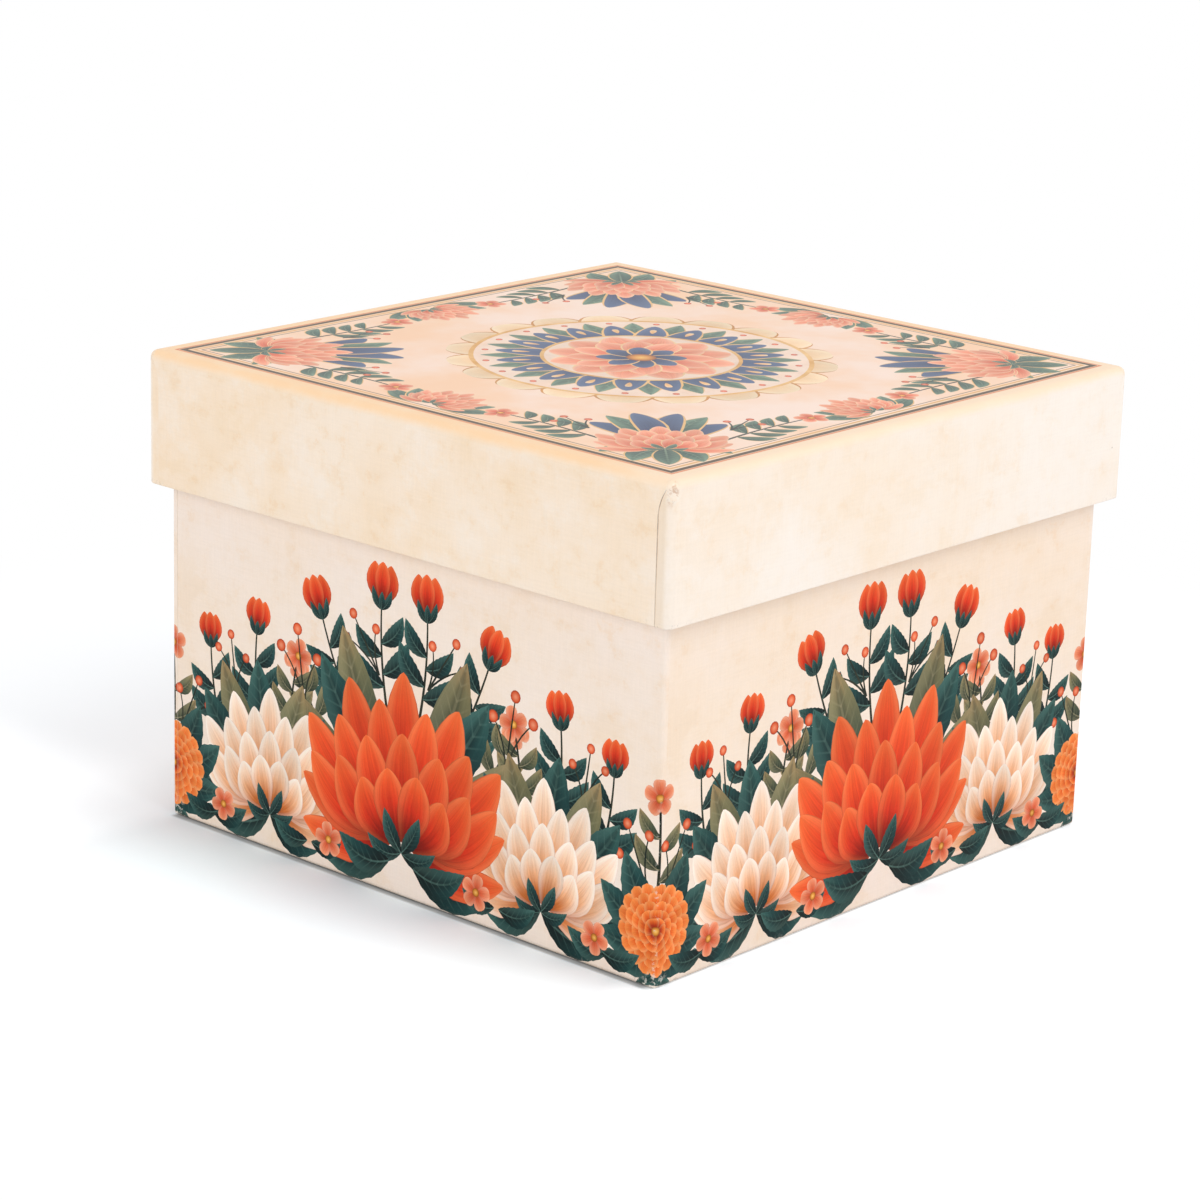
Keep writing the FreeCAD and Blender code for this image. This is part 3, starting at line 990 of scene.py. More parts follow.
@dataclass(frozen=True)
class PrintPaper:
    """Coated art paper that carries the print: matt, with a faint tooth, rubbed at corners and foot.

    Half is the distance from the middle to a face, foot the lower edge's height and crest the height
    of top corners where folds meet, or 0 for none, in millimetres.
    """

    half: float
    foot: float
    rub: float
    rough: float = 0.5
    gloss: float = 0.22
    tooth: float = 0.00003
    # grime is the strength of the dark band at the foot: dirt and painted shade along the lower edge
    grime: float = 0.0
    bruise: float = 0.0
    crest: float = 0.0
    core: str = "F6EEE2"
    scuff: str = "3E3A36"
    foot_dirt_and_shade: str = "6E655C"
    pucker: str = "B4763F"

    def print_on(self, nodes: Nodes, colour: Socket, u: Field, v: Field) -> bpy.types.Material:
        """Close a print material with the paper's wear, gloss and tooth.

        Args:
            nodes: The material's nodes.
            colour: Printed colour.
            u: Place across the flat sheet, in metres.
            v: Place up the flat sheet, in metres.

        Returns:
            The material.
        """
        x, y, z = nodes.place()
        height = (z * PER_METRE - self.foot).most(0.0)
        along = self.half - abs(x).least(abs(y)) * PER_METRE
        spot = nodes.spot(x, y, z)
        flake = nodes.noise(spot, 900.0, 6.0, 0.7)
        edge = (1.0 - along.rise(0.1, 0.75)) * (1.0 - height.rise(3.0, 50.0) * 0.85)
        low = (1.0 - height.rise(0.3, 1.5)) * (1.12 - along.rise(1.5, 7.0))
        tip = (1.0 - along.rise(0.6, 3.6)) * (1.0 - height.rise(0.5, 4.5)) * self.bruise
        near = (edge * 0.6 + low).least(1.0) * self.rub
        worn = near * (flake + tip * 0.07).rise(0.55, 0.6)
        # darker at the very foot of the paper: dirt and painted shade along the lower edge
        colour = nodes.mix(colour, self.foot_dirt_and_shade, (1.0 - height.rise(0.1, 0.8)) * self.grime)
        colour = nodes.mix(colour, self.core, worn.most(tip * flake.rise(0.52, 0.58)))
        if self.crest:
            colour = self._puckered(nodes, colour, flake)
        mark = nodes.noise(nodes.spot(y, z, x), 1100.0, 5.0, 0.7)
        dark = (low * self.rub).most(tip) * mark.rise(0.56, 0.61)
        colour = nodes.mix(colour, self.scuff, dark * 0.85)
        flat = nodes.spot(u, v)
        tooth = nodes.noise(flat, 3200.0, 2.0, 0.6)
        sheen = nodes.noise(flat, 60.0, 2.0)
        rough = self.rough + (sheen - 0.5) * 0.12 + worn * 0.25
        return nodes.close(colour, rough, tooth, self.tooth, self.gloss)

    def _puckered(self, nodes: Nodes, colour: Socket, flake: Field) -> Socket:
        """Rub the print where the folds meet at the top corners: bare specks and brown glue marks.

        Args:
            nodes: The material's nodes.
            colour: Printed colour.
            flake: Random specks.

        Returns:
            The colour.
        """
        x, y, z = nodes.place()
        aside = abs(x) * PER_METRE - self.half + 0.8
        ahead = abs(y) * PER_METRE - self.half + 0.8
        down = (z * PER_METRE - self.crest) * 0.55
        near = 1.0 - ((aside * aside + ahead * ahead + down * down) ** 0.5).rise(0.3, 1.7)
        stain = nodes.noise(nodes.spot(z, x, y), 700.0, 5.0, 0.7)
        colour = nodes.mix(colour, self.pucker, near * stain.rise(0.5, 0.6) * 0.6)
        return nodes.mix(colour, self.core, near * flake.rise(0.5, 0.58) * 0.8)


@dataclass(frozen=True)
class Parchment:
    """Aged ground of the print: broad tints, ragged patches, small flecks, grain and crossing threads."""

    plain: str
    warm: str
    patch: str
    patch_amount: float
    fleck: str = "EDBE86"
    fleck_amount: float = 0.16
    grain: float = 0.05
    threads: float = 0.06
    thread_scales: tuple[float, float] = (2600.0, 140.0)
    speck: str = "8A6A4C"
    speck_amount: float = 0.5

    def colour(
        self, nodes: Nodes, u: Field, v: Field, bias: Field | float = 0.0, age: Field | float = 1.0
    ) -> Socket:
        """Colour the ground.

        Args:
            nodes: The material's nodes.
            u: Place across the flat sheet, in metres.
            v: Place up the flat sheet, in metres.
            bias: Extra warmth, or less where it is below 0.
            age: Strength of the patches and flecks.

        Returns:
            The colour.
        """
        flat = nodes.spot(u, v)
        broad = nodes.noise(flat, 20.0, 3.0, 0.6)
        ragged = nodes.noise(flat, 74.0, 12.0, 0.7)
        small = nodes.noise(flat, 190.0, 9.0, 0.72)
        grain = nodes.noise(flat, 1900.0, 3.0, 0.6)
        fine, coarse = self.thread_scales
        warp = nodes.noise(nodes.spot(u * fine, v * coarse), 1.0)
        weft = nodes.noise(nodes.spot(u * coarse, v * fine), 1.0)
        warmth = (broad.rise(0.3, 0.7) * 0.8 + bias).least(1.0).most(0.0)
        colour = nodes.mix(self.plain, self.warm, warmth)
        stain = ragged.rise(0.5, 0.58) * broad.rise(0.36, 0.62)
        colour = nodes.mix(colour, self.patch, stain * age * self.patch_amount)
        colour = nodes.mix(colour, self.plain, (1.0 - ragged).rise(0.5, 0.62) * age * 0.26)
        colour = nodes.mix(colour, self.patch, small.rise(0.44, 0.66) * age * 0.2)
        crumbs = small.rise(0.55, 0.63) * ragged.rise(0.42, 0.58)
        colour = nodes.mix(colour, self.fleck, crumbs * age * self.fleck_amount)
        gain = 1.0 + (grain - 0.5) * self.grain + (warp + weft - 1.0) * self.threads
        colour = nodes.brighten(colour, gain)
        return nodes.mix(colour, self.speck, self._specks(nodes, flat) * self.speck_amount)

    @staticmethod
    def _specks(nodes: Nodes, flat: Socket) -> Field:
        """Scatter a few tiny dots.

        Args:
            nodes: The material's nodes.
            flat: Place on the flat sheet.

        Returns:
            1 on a dot and 0 elsewhere.
        """
        inputs = {"Vector": flat, "Scale": 90.0}
        cells = nodes.add("ShaderNodeTexVoronoi", {"voronoi_dimensions": "2D"}, inputs)
        chance = nodes.value("ShaderNodeSeparateColor", None, {0: cells.outputs["Color"]})
        dot = 1.0 - Field(nodes, cells.outputs["Distance"]).rise(0.008, 0.02)
        return dot * chance.rise(0.94, 0.95)


@dataclass(frozen=True)
class WallGround:
    """Pale cream-pink ground of the base's print."""

    ground: Parchment = Parchment("F8E8DC", "F8E3CE", "F1D6B8", 0.34)

    def material(self, paper: PrintPaper) -> bpy.types.Material:
        """Build the ground's material, with warm light painted high up on the right wall.

        Args:
            paper: Paper that it is printed on.

        Returns:
            The material.
        """
        nodes = Nodes.named("wall_ground")
        u, v = nodes.flat_map("sheet")
        x, y, z = nodes.place()
        # painted warm light: the right wall's ground made warmer towards its top
        painted_warm_light = (x - abs(y)).rise(0.0, 0.002) * z.rise(0.02, 0.06) * 0.6
        return paper.print_on(nodes, self.ground.colour(nodes, u, v, painted_warm_light), u, v)


@dataclass(frozen=True)
class LidGround:
    """Cream parchment of the lid's print: a framed peach field on top, warm margin and plain skirts.

    The lengths, in millimetres on the flat sheet, are where the skirts begin and how the front
    panels' cut edges run: a thin brown line follows them on the tabs below. The frame's lines are
    given by their inner and outer edges, measured from the frame.
    """

    skirt: float
    seam_run: float
    seam_curl: float
    field_tone: str = "FCD0AC"
    field_light: str = "FEE4D4"
    margin: str = "FDD6AA"
    margin_cloud: str = "FCE2C0"
    painted_margin_highlight: str = "FEECD6"
    skirts: Parchment = Parchment("FAEEE2", "F9E1C6", "F2D4AC", 0.3)
    painted_tab_shade: str = "D9CBBB"
    frame_half: float = 58.9
    frame_lines: tuple[tuple[float, float, str], ...] = (
        (-2.55, -2.25, "8C7258"), (-1.75, -1.05, "E8B478"), (-0.6, 0.5, "54432F"), (0.62, 1.15, "E2895E"),
    )
    line_blur: float = 0.06
    fold: tuple[float, float] = (63.0, 64.9)
    seam_brown: str = "8A5A34"

    def material(self, paper: PrintPaper) -> bpy.types.Material:
        """Build the ground's material.

        Args:
            paper: Paper that it is printed on.

        Returns:
            The material.
        """
        nodes = Nodes.named("lid_ground")
        u, v = nodes.flat_map("sheet")
        out = abs(u).most(abs(v)) * PER_METRE
        flat = nodes.spot(u, v)
        cloud = nodes.noise(flat, 30.0, 4.0, 0.6)
        ragged = nodes.noise(flat, 110.0, 8.0, 0.7)
        margin = nodes.mix(self.margin, self.margin_cloud, ragged.rise(0.45, 0.7) * 0.5)
        # painted highlight: the margin lighter towards the fold on the right side
        margin = nodes.mix(margin, self.painted_margin_highlight, (u * PER_METRE).rise(44.0, self.skirt) * 0.55)
        middle = nodes.mix(self.field_tone, self.field_light, cloud.rise(0.35, 0.65))
        colour = self._framed(nodes, middle, margin, out - self.frame_half)
        edge = out + (ragged - 0.5) * 1.2 + (cloud - 0.5) * 1.2
        colour = nodes.mix(colour, self._skirts(nodes, u, v), edge.rise(*self.fold))
        colour = nodes.mix(colour, self.seam_brown, self._seam(nodes, u, v))
        return paper.print_on(nodes, colour, u, v)

    def _framed(self, nodes: Nodes, middle: Socket, margin: Socket, line: Field) -> Socket:
        """Draw the frame's lines between the field and the margin.

        Args:
            nodes: The material's nodes.
            middle: Colour of the field.
            margin: Colour of the margin.
            line: Distance outwards from the frame.

        Returns:
            The colour.
        """
        colour = nodes.mix(middle, margin, line.rise(-0.95, -0.75))
        blur = self.line_blur
        for low, high, code in self.frame_lines:
            band = line.rise(low - blur, low + blur) * (1.0 - line.rise(high - blur, high + blur))
            colour = nodes.mix(colour, code, band)
        return colour

    def _skirts(self, nodes: Nodes, u: Field, v: Field) -> Socket:
        """Colour the skirts: warmer in front and behind, and on the tabs tucked under these panels, with
        painted shade greying the right side panel's tabs.

        Args:
            nodes: The material's nodes.
            u: Place across the flat sheet, in metres.
            v: Place up the flat sheet, in metres.

        Returns:
            The colour.
        """
        front = (abs(v) - abs(u)).rise(0.0, 0.001)
        tab = (abs(v) * PER_METRE).rise(self.skirt - 0.8, self.skirt + 0.4) * (1.0 - front)
        right = u.rise(-0.001, 0.001)
        warmth = front * 0.86 + tab * (0.86 - right * 0.26) - 0.26
        age = front * 0.75 + tab * (1.0 - right) * 0.75 + 0.6
        colour = self.skirts.colour(nodes, u, v, warmth, age)
        # painted shade: the right side panel's tabs, by the corners, greyed
        return nodes.mix(colour, self.painted_tab_shade, tab * right * 0.22)

    def _seam(self, nodes: Nodes, u: Field, v: Field) -> Field:
        """Find the thin line on the tabs along the front panels' cut edges.

        Args:
            nodes: The material's nodes.
            u: Place across the flat sheet, in metres.
            v: Place up the flat sheet, in metres.

        Returns:
            Strength of the line.
        """
        depth = abs(u) * PER_METRE - self.skirt
        tab = abs(v) * PER_METRE - self.skirt
        rest = (self.seam_curl - depth).most(0.0) / self.seam_curl
        cover = self.seam_run * (1.0 - rest * rest)
        line = (tab - cover).rise(-0.2, -0.06) * depth.rise(0.0, 0.3) * tab.rise(-0.2, 0.1)
        grime = nodes.noise(nodes.spot(u, v), 300.0, 4.0, 0.6)
        faint = 0.4 + u.rise(-0.001, 0.001) * 0.6
        return line * (0.85 - depth.rise(3.0, 22.0) * 0.5) * grime.rise(0.2, 0.6) * faint


@dataclass(frozen=True)
class Fibres:
    """Fibres or clouds of one colour in a stock: grains per metre along each axis, and how they show."""

    colour: str
    grains: tuple[float, float, float]
    detail: float
    rough: float
    spread: tuple[float, float]
    amount: float


@dataclass(frozen=True)
class Stock:
    """Unprinted board, tape or paper: a plain colour under clouds and fibres, the last of them raised."""

    name: str
    plain: str
    layers: tuple[Fibres, ...]
    rough: float
    relief: float

    def material(self) -> bpy.types.Material:
        """Build the stock's material.

        Returns:
            The material.
        """
        nodes = Nodes.named(self.name)
        place = nodes.place()
        colour = self.plain
        for layer in self.layers:
            spot = nodes.spot(*(axis * grain for axis, grain in zip(place, layer.grains)))
            fibre = nodes.noise(spot, 1.0, layer.detail, layer.rough)
            colour = nodes.mix(colour, layer.colour, fibre.rise(*layer.spread) * layer.amount)
        return nodes.close(colour, self.rough, fibre, self.relief)


LINING_CLOUDS = Fibres("ECE1D2", (45.0,) * 3, 3.0, 0.5, (0.5, 0.75), 0.25)
LINING_FIBRES = Fibres("ECE1D2", (1500.0,) * 3, 4.0, 0.65, (0.45, 0.75), 0.4)
BARE_PAPER = Stock("bare_paper", "F2EBDD", (
    Fibres("DCD2C0", (900.0,) * 3, 3.0, 0.6, (0.45, 0.75), 0.5),
), rough=0.8, relief=0.00004)
GREYBOARD = Stock("greyboard", "9D968B", (
    Fibres("857E74", (90.0,) * 3, 4.0, 0.6, (0.4, 0.7), 0.6),
    Fibres("C2BBAE", (300.0, 300.0, 2500.0), 3.0, 0.5, (0.55, 0.75), 0.4),
), rough=0.85, relief=0.00006)
STAY_TAPE = Stock("stay_tape", "B98F62", (
    Fibres("9A7248", (500.0, 500.0, 120.0), 4.0, 0.65, (0.4, 0.7), 0.6),
), rough=0.7, relief=0.00004)
LINING = Stock("lining_paper", "F8F1E7", (LINING_CLOUDS, LINING_FIBRES), rough=0.75, relief=0.00004)
BOTTOM_SHEET = replace(LINING, name="bottom_sheet_paper", plain="F1EADB")


class FoldPath:
    """The line that a sheet follows as it runs straight and bends, measured along the sheet."""

    def __init__(self, start: Point, heading: float, distance: float) -> None:
        """Start the line.

        Args:
            start: First point.
            heading: Direction in degrees, anticlockwise from the first axis.
            distance: Distance on the sheet at the first point.
        """
        self.point = Vector(start)
        self.heading = math.radians(heading)
        self.distance = distance
        self.runs: list[tuple[float, Vector, float, float]] = []
        self.creases: list[float] = []
        self.bends: list[tuple[float, float]] = []

    def _go(self, length: float, rate: float) -> "FoldPath":
        """Go on.

        Args:
            length: How far.
            rate: Turn for each millimetre, in radians.

        Returns:
            The path itself.
        """
        self.runs.append((self.distance, self.point, self.heading, rate))
        self.distance += length
        self.point, self.heading = self.at(self.distance)
        return self

    def straight(self, length: float) -> "FoldPath":
        """Go on straight."""
        return self._go(length, 0.0)

    def bend(self, radius: float, degrees: float, steps: int) -> "FoldPath":
        """Go round an arc, which the sheet is creased along.

        Args:
            radius: Radius of the arc.
            degrees: Turn, anticlockwise.
            steps: Parts that the creases make of it.

        Returns:
            The path itself.
        """
        length = abs(math.radians(degrees)) * radius
        self.creases += [self.distance + length * step / steps for step in range(steps + 1)]
        self.bends.append((self.distance, self.distance + length))
        return self._go(length, math.radians(degrees) / length)

    def at(self, distance: float) -> tuple[Vector, float]:
        """Find a place along the sheet.

        Args:
            distance: Distance on the sheet.

        Returns:
            The point and the heading there.
        """
        run = self.runs[0]
        for other in self.runs:
            if other[0] <= distance + 1e-9:
                run = other
        begin, point, heading, rate = run
        along = distance - begin
        if rate == 0.0:
            return point + along * Vector((math.cos(heading), math.sin(heading))), heading
        turned = heading + rate * along
        chord = Vector((math.sin(turned) - math.sin(heading), math.cos(heading) - math.cos(turned)))
        return point + chord / rate, turned

    def in_bend(self, distance: float) -> bool:
        """Tell whether a distance lies inside a bend."""
        return any(low < distance < high for low, high in self.bends)


@dataclass
class FoldedSheet:
    """A printed sheet that is cut along its drawing, folded, and given the paper's thickness."""

    name: str
    outline: list[Point]
    creases: list[Crease]
    art: Artwork
    thickness: float = 0.15

    def _cut(self) -> bmesh.types.BMesh:
        """Cut the flat sheet along its outline, creases and drawing.

        Returns:
            A flat mesh whose faces carry their ink's number and their places on the print.
        """
        points = [Vector(spot) for spot in self.outline]
        faces = [list(range(len(points)))]
        for mark in self.art.marks:
            faces.append(list(range(len(points), len(points) + len(mark.outline))))
            points += mark.outline
        edges = []
        for start, end in self.creases:
            edges.append((len(points), len(points) + 1))
            points += [Vector(start), Vector(end)]
        spots, _, shapes, _, _, owners = delaunay_2d_cdt(points, edges, faces, 1, 1e-5, True)
        inks = self.art.inks()
        mesh = bmesh.new()
        maps = [mesh.loops.layers.uv.new(name) for name in ("sheet", "petal", "brush")]
        corners = [mesh.verts.new((spot.x, spot.y, 0.0)) for spot in spots]
        for shape, owner in zip(shapes, owners):
            if 0 not in owner:
                continue
            face = mesh.faces.new([corners[number] for number in shape])
            mark = self.art.marks[max(owner) - 1] if max(owner) > 0 else None
            face.material_index = inks.index(mark.ink) + 1 if mark else 0
            for loop in face.loops:
                spot = loop.vert.co.to_2d()
                loop[maps[0]].uv = spot * MM
                if mark:
                    loop[maps[1]].uv = mark.own(spot)
                    loop[maps[2]].uv = (mark.bow, mark.tone)
        bmesh.ops.delete(mesh, geom=[vert for vert in mesh.verts if not vert.link_faces], context="VERTS")
        return mesh

    def _lay_out(self, mesh: bmesh.types.BMesh, printed: set[bmesh.types.BMFace]) -> None:
        """Add the map that the finishes are baked on: the print large, back and cut edges in a corner.

        Args:
            mesh: The folded sheet with its thickness.
            printed: Its printed faces.
        """
        flat = mesh.loops.layers.uv["sheet"]
        bake = mesh.loops.layers.uv.new("OFBake")
        low = Vector(map(min, zip(*self.outline))) * MM
        high = Vector(map(max, zip(*self.outline))) * MM
        size = max(high - low)
        for face in mesh.faces:
            edge = any(side in printed for line in face.edges for side in line.link_faces)
            for number, loop in enumerate(face.loops):
                share = (loop[flat].uv - low) / size
                if face in printed:
                    loop[bake].uv = share * 0.93 + Vector((0.005, 0.005))
                elif edge:
                    loop[bake].uv = (0.95 + 0.03 * (number in (1, 2)), 0.02 + 0.03 * (number in (2, 3)))
                else:
                    loop[bake].uv = share * 0.05 + Vector((0.945, 0.945))

    def build(
        self, fold: Callable[[Vector], Vector], bent: Callable[[Vector], bool],
        materials: list[bpy.types.Material],
    ) -> bpy.types.Object:
        """Make the sheet's object.

        Args:
            fold: Place on the box, in millimetres, of a point of the flat sheet.
            bent: Whether a point of the flat sheet lies in a rounded bend.
            materials: Ground, inks in the order of first use, and bare paper.

        Returns:
            The object, not yet riding on a body.
        """
        mesh = self._cut()
        for face in mesh.faces:
            face.smooth = bent(face.calc_center_median().to_2d())
        for vert in mesh.verts:
            vert.co = fold(vert.co.to_2d()) * MM
        bmesh.ops.remove_doubles(mesh, verts=mesh.verts, dist=0.004 * MM)
        bmesh.ops.dissolve_degenerate(mesh, edges=mesh.edges, dist=0.002 * MM)
        mesh.normal_update()
        printed = set(mesh.faces)
        bmesh.ops.solidify(mesh, geom=list(mesh.faces), thickness=self.thickness * MM)
        for face in mesh.faces:
            if face not in printed:
                face.material_index = len(materials) - 1
                face.smooth = False
        for edge in mesh.edges:
            if len({face in printed for face in edge.link_faces}) > 1:
                edge.smooth = False
        self._lay_out(mesh, printed)
        data = bpy.data.meshes.new(self.name)
        mesh.to_mesh(data)
        mesh.free()
        for material in materials:
            data.materials.append(material)
        return put(self.name, data)


@dataclass
class BaseWrap:
    """Four printed panels round the tray, each lapped over the next one at a corner.

    Half is the distance from the middle to a face, wall the thickness that the rim's paper goes round,
    and ramp the part of the wall along which a panel comes proud of the boards, to lap the next one.
    The spans are those of the crease lines, which run on past the panel's edges.
    """

    half: float = 60.25
    bottom: float = 0.2
    rim: float = 87.0
    corner: float = 0.45
    fold: float = 0.5
    wall: float = 2.55
    turn_in: float = 15.0
    turn_under: float = 14.0
    lap: float = 0.7
    proud: float = 0.07
    ramp: tuple[float, float] = (12.0, 6.0)
    ease: float = 0.5
    slope: float = 3.0
    slant: float = 0.2
    span_across: Point = (-70.0, 70.0)
    span_up: Point = (-30.0, 120.0)

    def __post_init__(self) -> None:
        """Work out the fold lines up the wall and round the corner."""
        quarter = math.pi / 2.0
        self.arc = quarter * self.corner
        self.lip = quarter * self.fold
        self.flat = self.half - self.corner
        self.foot = self.bottom + self.corner
        self.start = self.foot - self.arc - (self.turn_under - self.corner)
        self.side = FoldPath((-self.turn_under, self.bottom), 0.0, self.start)
        self.side.straight(self.turn_under - self.corner).bend(self.corner, 90.0, 6)
        self.side.straight(self.rim - self.fold - self.foot).bend(self.fold, 90.0, 4)
        self.side.straight(self.wall - 2.0 * self.fold).bend(self.fold, 90.0, 4)
        self.side.straight(self.turn_in - self.fold)
        self.plan = FoldPath((-self.flat, -self.half), 0.0, -self.flat)
        self.plan.straight(2.0 * self.flat).bend(self.corner, 90.0, 6).straight(10.0)

    def _outline(self) -> list[Point]:
        """Cut one flat panel.

        Returns:
            Its corners, from the wall's middle across and up.
        """
        flat = self.flat
        top = self.rim - self.fold
        cap = top + self.lip + self.corner - self.fold
        inside = top + 2.0 * self.lip + self.wall - 2.0 * self.fold
        end = inside + self.turn_in - self.fold
        bend = self.foot - self.arc
        lapped = flat + self.arc + self.lap
        hidden = -flat + self.lap - self.ease
        inner = self.half - self.wall
        return [
            (self.half - self.turn_under, self.start), (flat, bend), (flat + self.arc, bend),
            (lapped, self.foot + self.ease), (lapped, top - self.ease), (flat + self.arc, cap), (flat, cap),
            (inner, inside), (inner - self.slant, end), (self.slant - inner, end), (-inner, inside),
            (-flat, cap), (hidden, top), (hidden, self.foot), (-flat, bend),
            (self.turn_under - self.half, self.start),
        ]

    def _creases(self) -> list[Crease]:
        """Find the lines along which a flat panel bends.

        Returns:
            Their ends, past the panel's edges.
        """
        start, end = (self.flat - part for part in self.ramp)
        levels = [self.foot + self.slope, self.rim - self.ease - self.slope]
        left, right = self.span_across
        across = [((left, at), (right, at)) for at in self.side.creases + levels]
        ramp = [start, (start + end) / 2.0, end]
        low, high = self.span_up
        return across + [((at, low), (at, high)) for at in self.plan.creases + ramp]

    def _place(self, spot: Vector) -> Vector:
        """Fold the front panel.

        Args:
            spot: Point of the flat panel.

        Returns:
            Its place on the box.
        """
        (out, height), _ = self.side.at(spot.y)
        top = self.rim - self.ease
        lift = climb(spot.x, *(self.flat - part for part in self.ramp))
        lift *= climb(spot.y, self.foot, self.foot + self.slope) * climb(spot.y, top, top - self.slope)
        point, heading = self.plan.at(spot.x)
        normal = Vector((math.sin(heading), -math.cos(heading)))
        ground = point + normal * (out + lift * self.proud)
        return Vector((ground.x, ground.y, height))

    def build(self) -> list[bpy.types.Object]:
        """Fold the four panels, dress them and hang them on the base.

        Returns:
            The panels.
        """
        panels = []
        art = WallPrint(2.0 * self.flat + self.arc).draw()
        paper = PrintPaper(half=self.half, foot=self.bottom, rub=0.9, gloss=0.1, grime=0.3, bruise=0.9)
        materials = [WallGround().material(paper)] + [ink.material(paper) for ink in art.inks()]
        materials.append(BARE_PAPER.material())
        for number, name in enumerate(("front", "right", "back", "left")):
            turn = Matrix.Rotation(math.radians(90.0 * number), 3, "Z")
            sheet = FoldedSheet(f"base_{name}_wrap", self._outline(), self._creases(), art)
            panel = sheet.build(
                lambda spot: turn @ self._place(spot),
                lambda spot: self.side.in_bend(spot.y) or self.plan.in_bend(spot.x),
                materials,
            )
            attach(panel, "base")
            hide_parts("base_wrap")
            panels.append(panel)
        return panels


@dataclass
class LidWrap:
    """One printed sheet over the lid, with its side panels tucked under the front and back ones.

    The front and back panels stop short of the corners by setback, in a curl up to the top, and lie
    proud of the boards. The side panels go on round the corners in tabs that sink a little. Far is
    where the crease lines end, past the sheet's edges.
    """

    half: float = 63.5
    top: float = 89.4
    bottom: float = 64.4
    corner: float = 1.5
    fold: float = 0.3
    wall: float = 2.55
    turn_in: float = 22.0
    tab: float = 12.0
    setback: float = 3.1
    curl: float = 5.0
    proud: float = 0.1
    sink: float = 0.05
    slope: float = 2.0
    slant: float = 0.4
    tab_slant: float = 1.0
    tab_root: float = 0.6
    play: float = 0.02
    hem: float = 3.0
    far: float = 130.0

    def __post_init__(self) -> None:
        """Work out the fold lines down the skirt and round the corner."""
        quarter = math.pi / 2.0
        self.arc = quarter * self.corner
        self.lip = quarter * self.fold
        self.flat = self.half - self.corner
        self.skirt = self.flat + self.arc
        self.low = self.skirt + self.top - self.bottom - self.corner - self.fold
        self.side = FoldPath((-self.corner, self.top), 0.0, self.flat)
        self.side.bend(self.corner, -90.0, 6).straight(self.low - self.skirt).bend(self.fold, -90.0, 4)
        self.side.straight(self.wall - 2.0 * self.fold).bend(self.fold, -90.0, 4)
        self.side.straight(self.turn_in - self.fold)
        self.plan = FoldPath((-self.flat, -self.half), 0.0, -self.flat)
        self.plan.straight(2.0 * self.flat).bend(self.corner, 90.0, 6).straight(20.0)

    def _corner_line(self) -> list[Point]:
        """Cut one corner.

        Returns:
            The cut line, from the back panel round to the right one.
        """
        under = self.low + self.lip
        cap = under + self.corner - self.fold
        inside = under + self.lip + self.wall - 2.0 * self.fold
        end = inside + self.turn_in - self.fold
        edge = self.half - self.setback
        inner = self.half - self.wall
        tab = self.skirt + self.tab
        seam = self.setback - self.corner
        under_seam = self.skirt + seam - self.play
        curve = []
        for rest in (0.0, 0.2, 0.4, 0.6, 0.8, 0.94):
            curve.append((edge + seam * rest ** 2, self.skirt + self.curl * (1.0 - rest)))
        return [
            (edge - self.slant, end), (edge, inside), *curve, (self.flat - 0.03, self.skirt),
            (self.flat, self.flat), (self.flat + 0.01, self.skirt + seam + self.tab_root),
            (self.skirt + self.tab_slant, tab), (self.low - self.slant, tab),
            (self.low - self.slant, under_seam), (cap, under_seam), (cap, self.flat),
            (inside - self.lip, self.flat), (inside, inner), (end, inner - self.slant),
        ]

    def _outline(self) -> list[Point]:
        """Cut the flat cross-shaped sheet.

        Returns:
            Its corners, from the middle of the lid.
        """
        line = self._corner_line()
        front_right = [(x, -y) for x, y in line]
        back_left = [(-x, y) for x, y in line]
        front_left = [(-x, -y) for x, y in line]
        return line[::-1] + back_left + front_left[::-1] + front_right

    def _creases(self) -> list[Crease]:
        """Find the lines along which the flat sheet bends, on the panels they belong to.

        Returns:
            Their ends, past the sheet's edges where no other panel is met.
        """
        lines = []
        reach = self.skirt + self.tab + 1.0
        wide = self.half - 0.05
        for sign in (1.0, -1.0):
            for at in self.side.creases + [self.low - self.hem]:
                lines.append(((-wide, sign * at), (wide, sign * at)))
                lines.append(((sign * at, -reach), (sign * at, reach)))
            for at in self.plan.creases + [self.skirt + 0.5, self.skirt + 1.0]:
                lines.append(((self.flat, sign * at), (self.far, sign * at)))
                lines.append(((-self.far, sign * at), (-self.flat, sign * at)))
        return lines

    def _place(self, spot: Vector) -> Vector:
        """Fold the sheet.

        Args:
            spot: Point of the flat sheet.

        Returns:
            Its place on the lid.
        """
        x, y = spot
        if abs(x) <= self.flat + 1e-6 and abs(y) <= self.flat + 1e-6:
            return Vector((x, y, self.top))
        if abs(y) > self.flat and abs(x) <= self.flat + 1e-6:
            (out, height), _ = self.side.at(abs(y))
            start = self.flat + 1.0
            lift = climb(abs(y), start, start + self.slope) * climb(abs(y), self.low, self.low - self.slope)
            return Vector((x, math.copysign(self.half + out + lift * self.proud, y), height))
        (out, height), heading = self.side.at(abs(x))
        deep = self.sink * climb(abs(y), self.skirt, self.skirt + 0.8)
        point, way = self.plan.at(abs(y))
        normal = Vector((math.sin(way), -math.cos(way)))
        ground = point + normal * (out + deep * math.sin(heading))
        down = deep * max(math.cos(heading), 0.0)
        return Vector((math.copysign(-ground.y, x), math.copysign(ground.x, y), height - down))

    def _bent(self, spot: Vector) -> bool:
        """Tell flat panels from rounded bends.

        Args:
            spot: Point of the flat sheet.

        Returns:
            Whether it lies in a bend.
        """
        x, y = map(abs, spot)
        if x <= self.flat < y:
            return self.side.in_bend(y)
        return self.side.in_bend(x) or (x > self.flat and self.plan.in_bend(y))

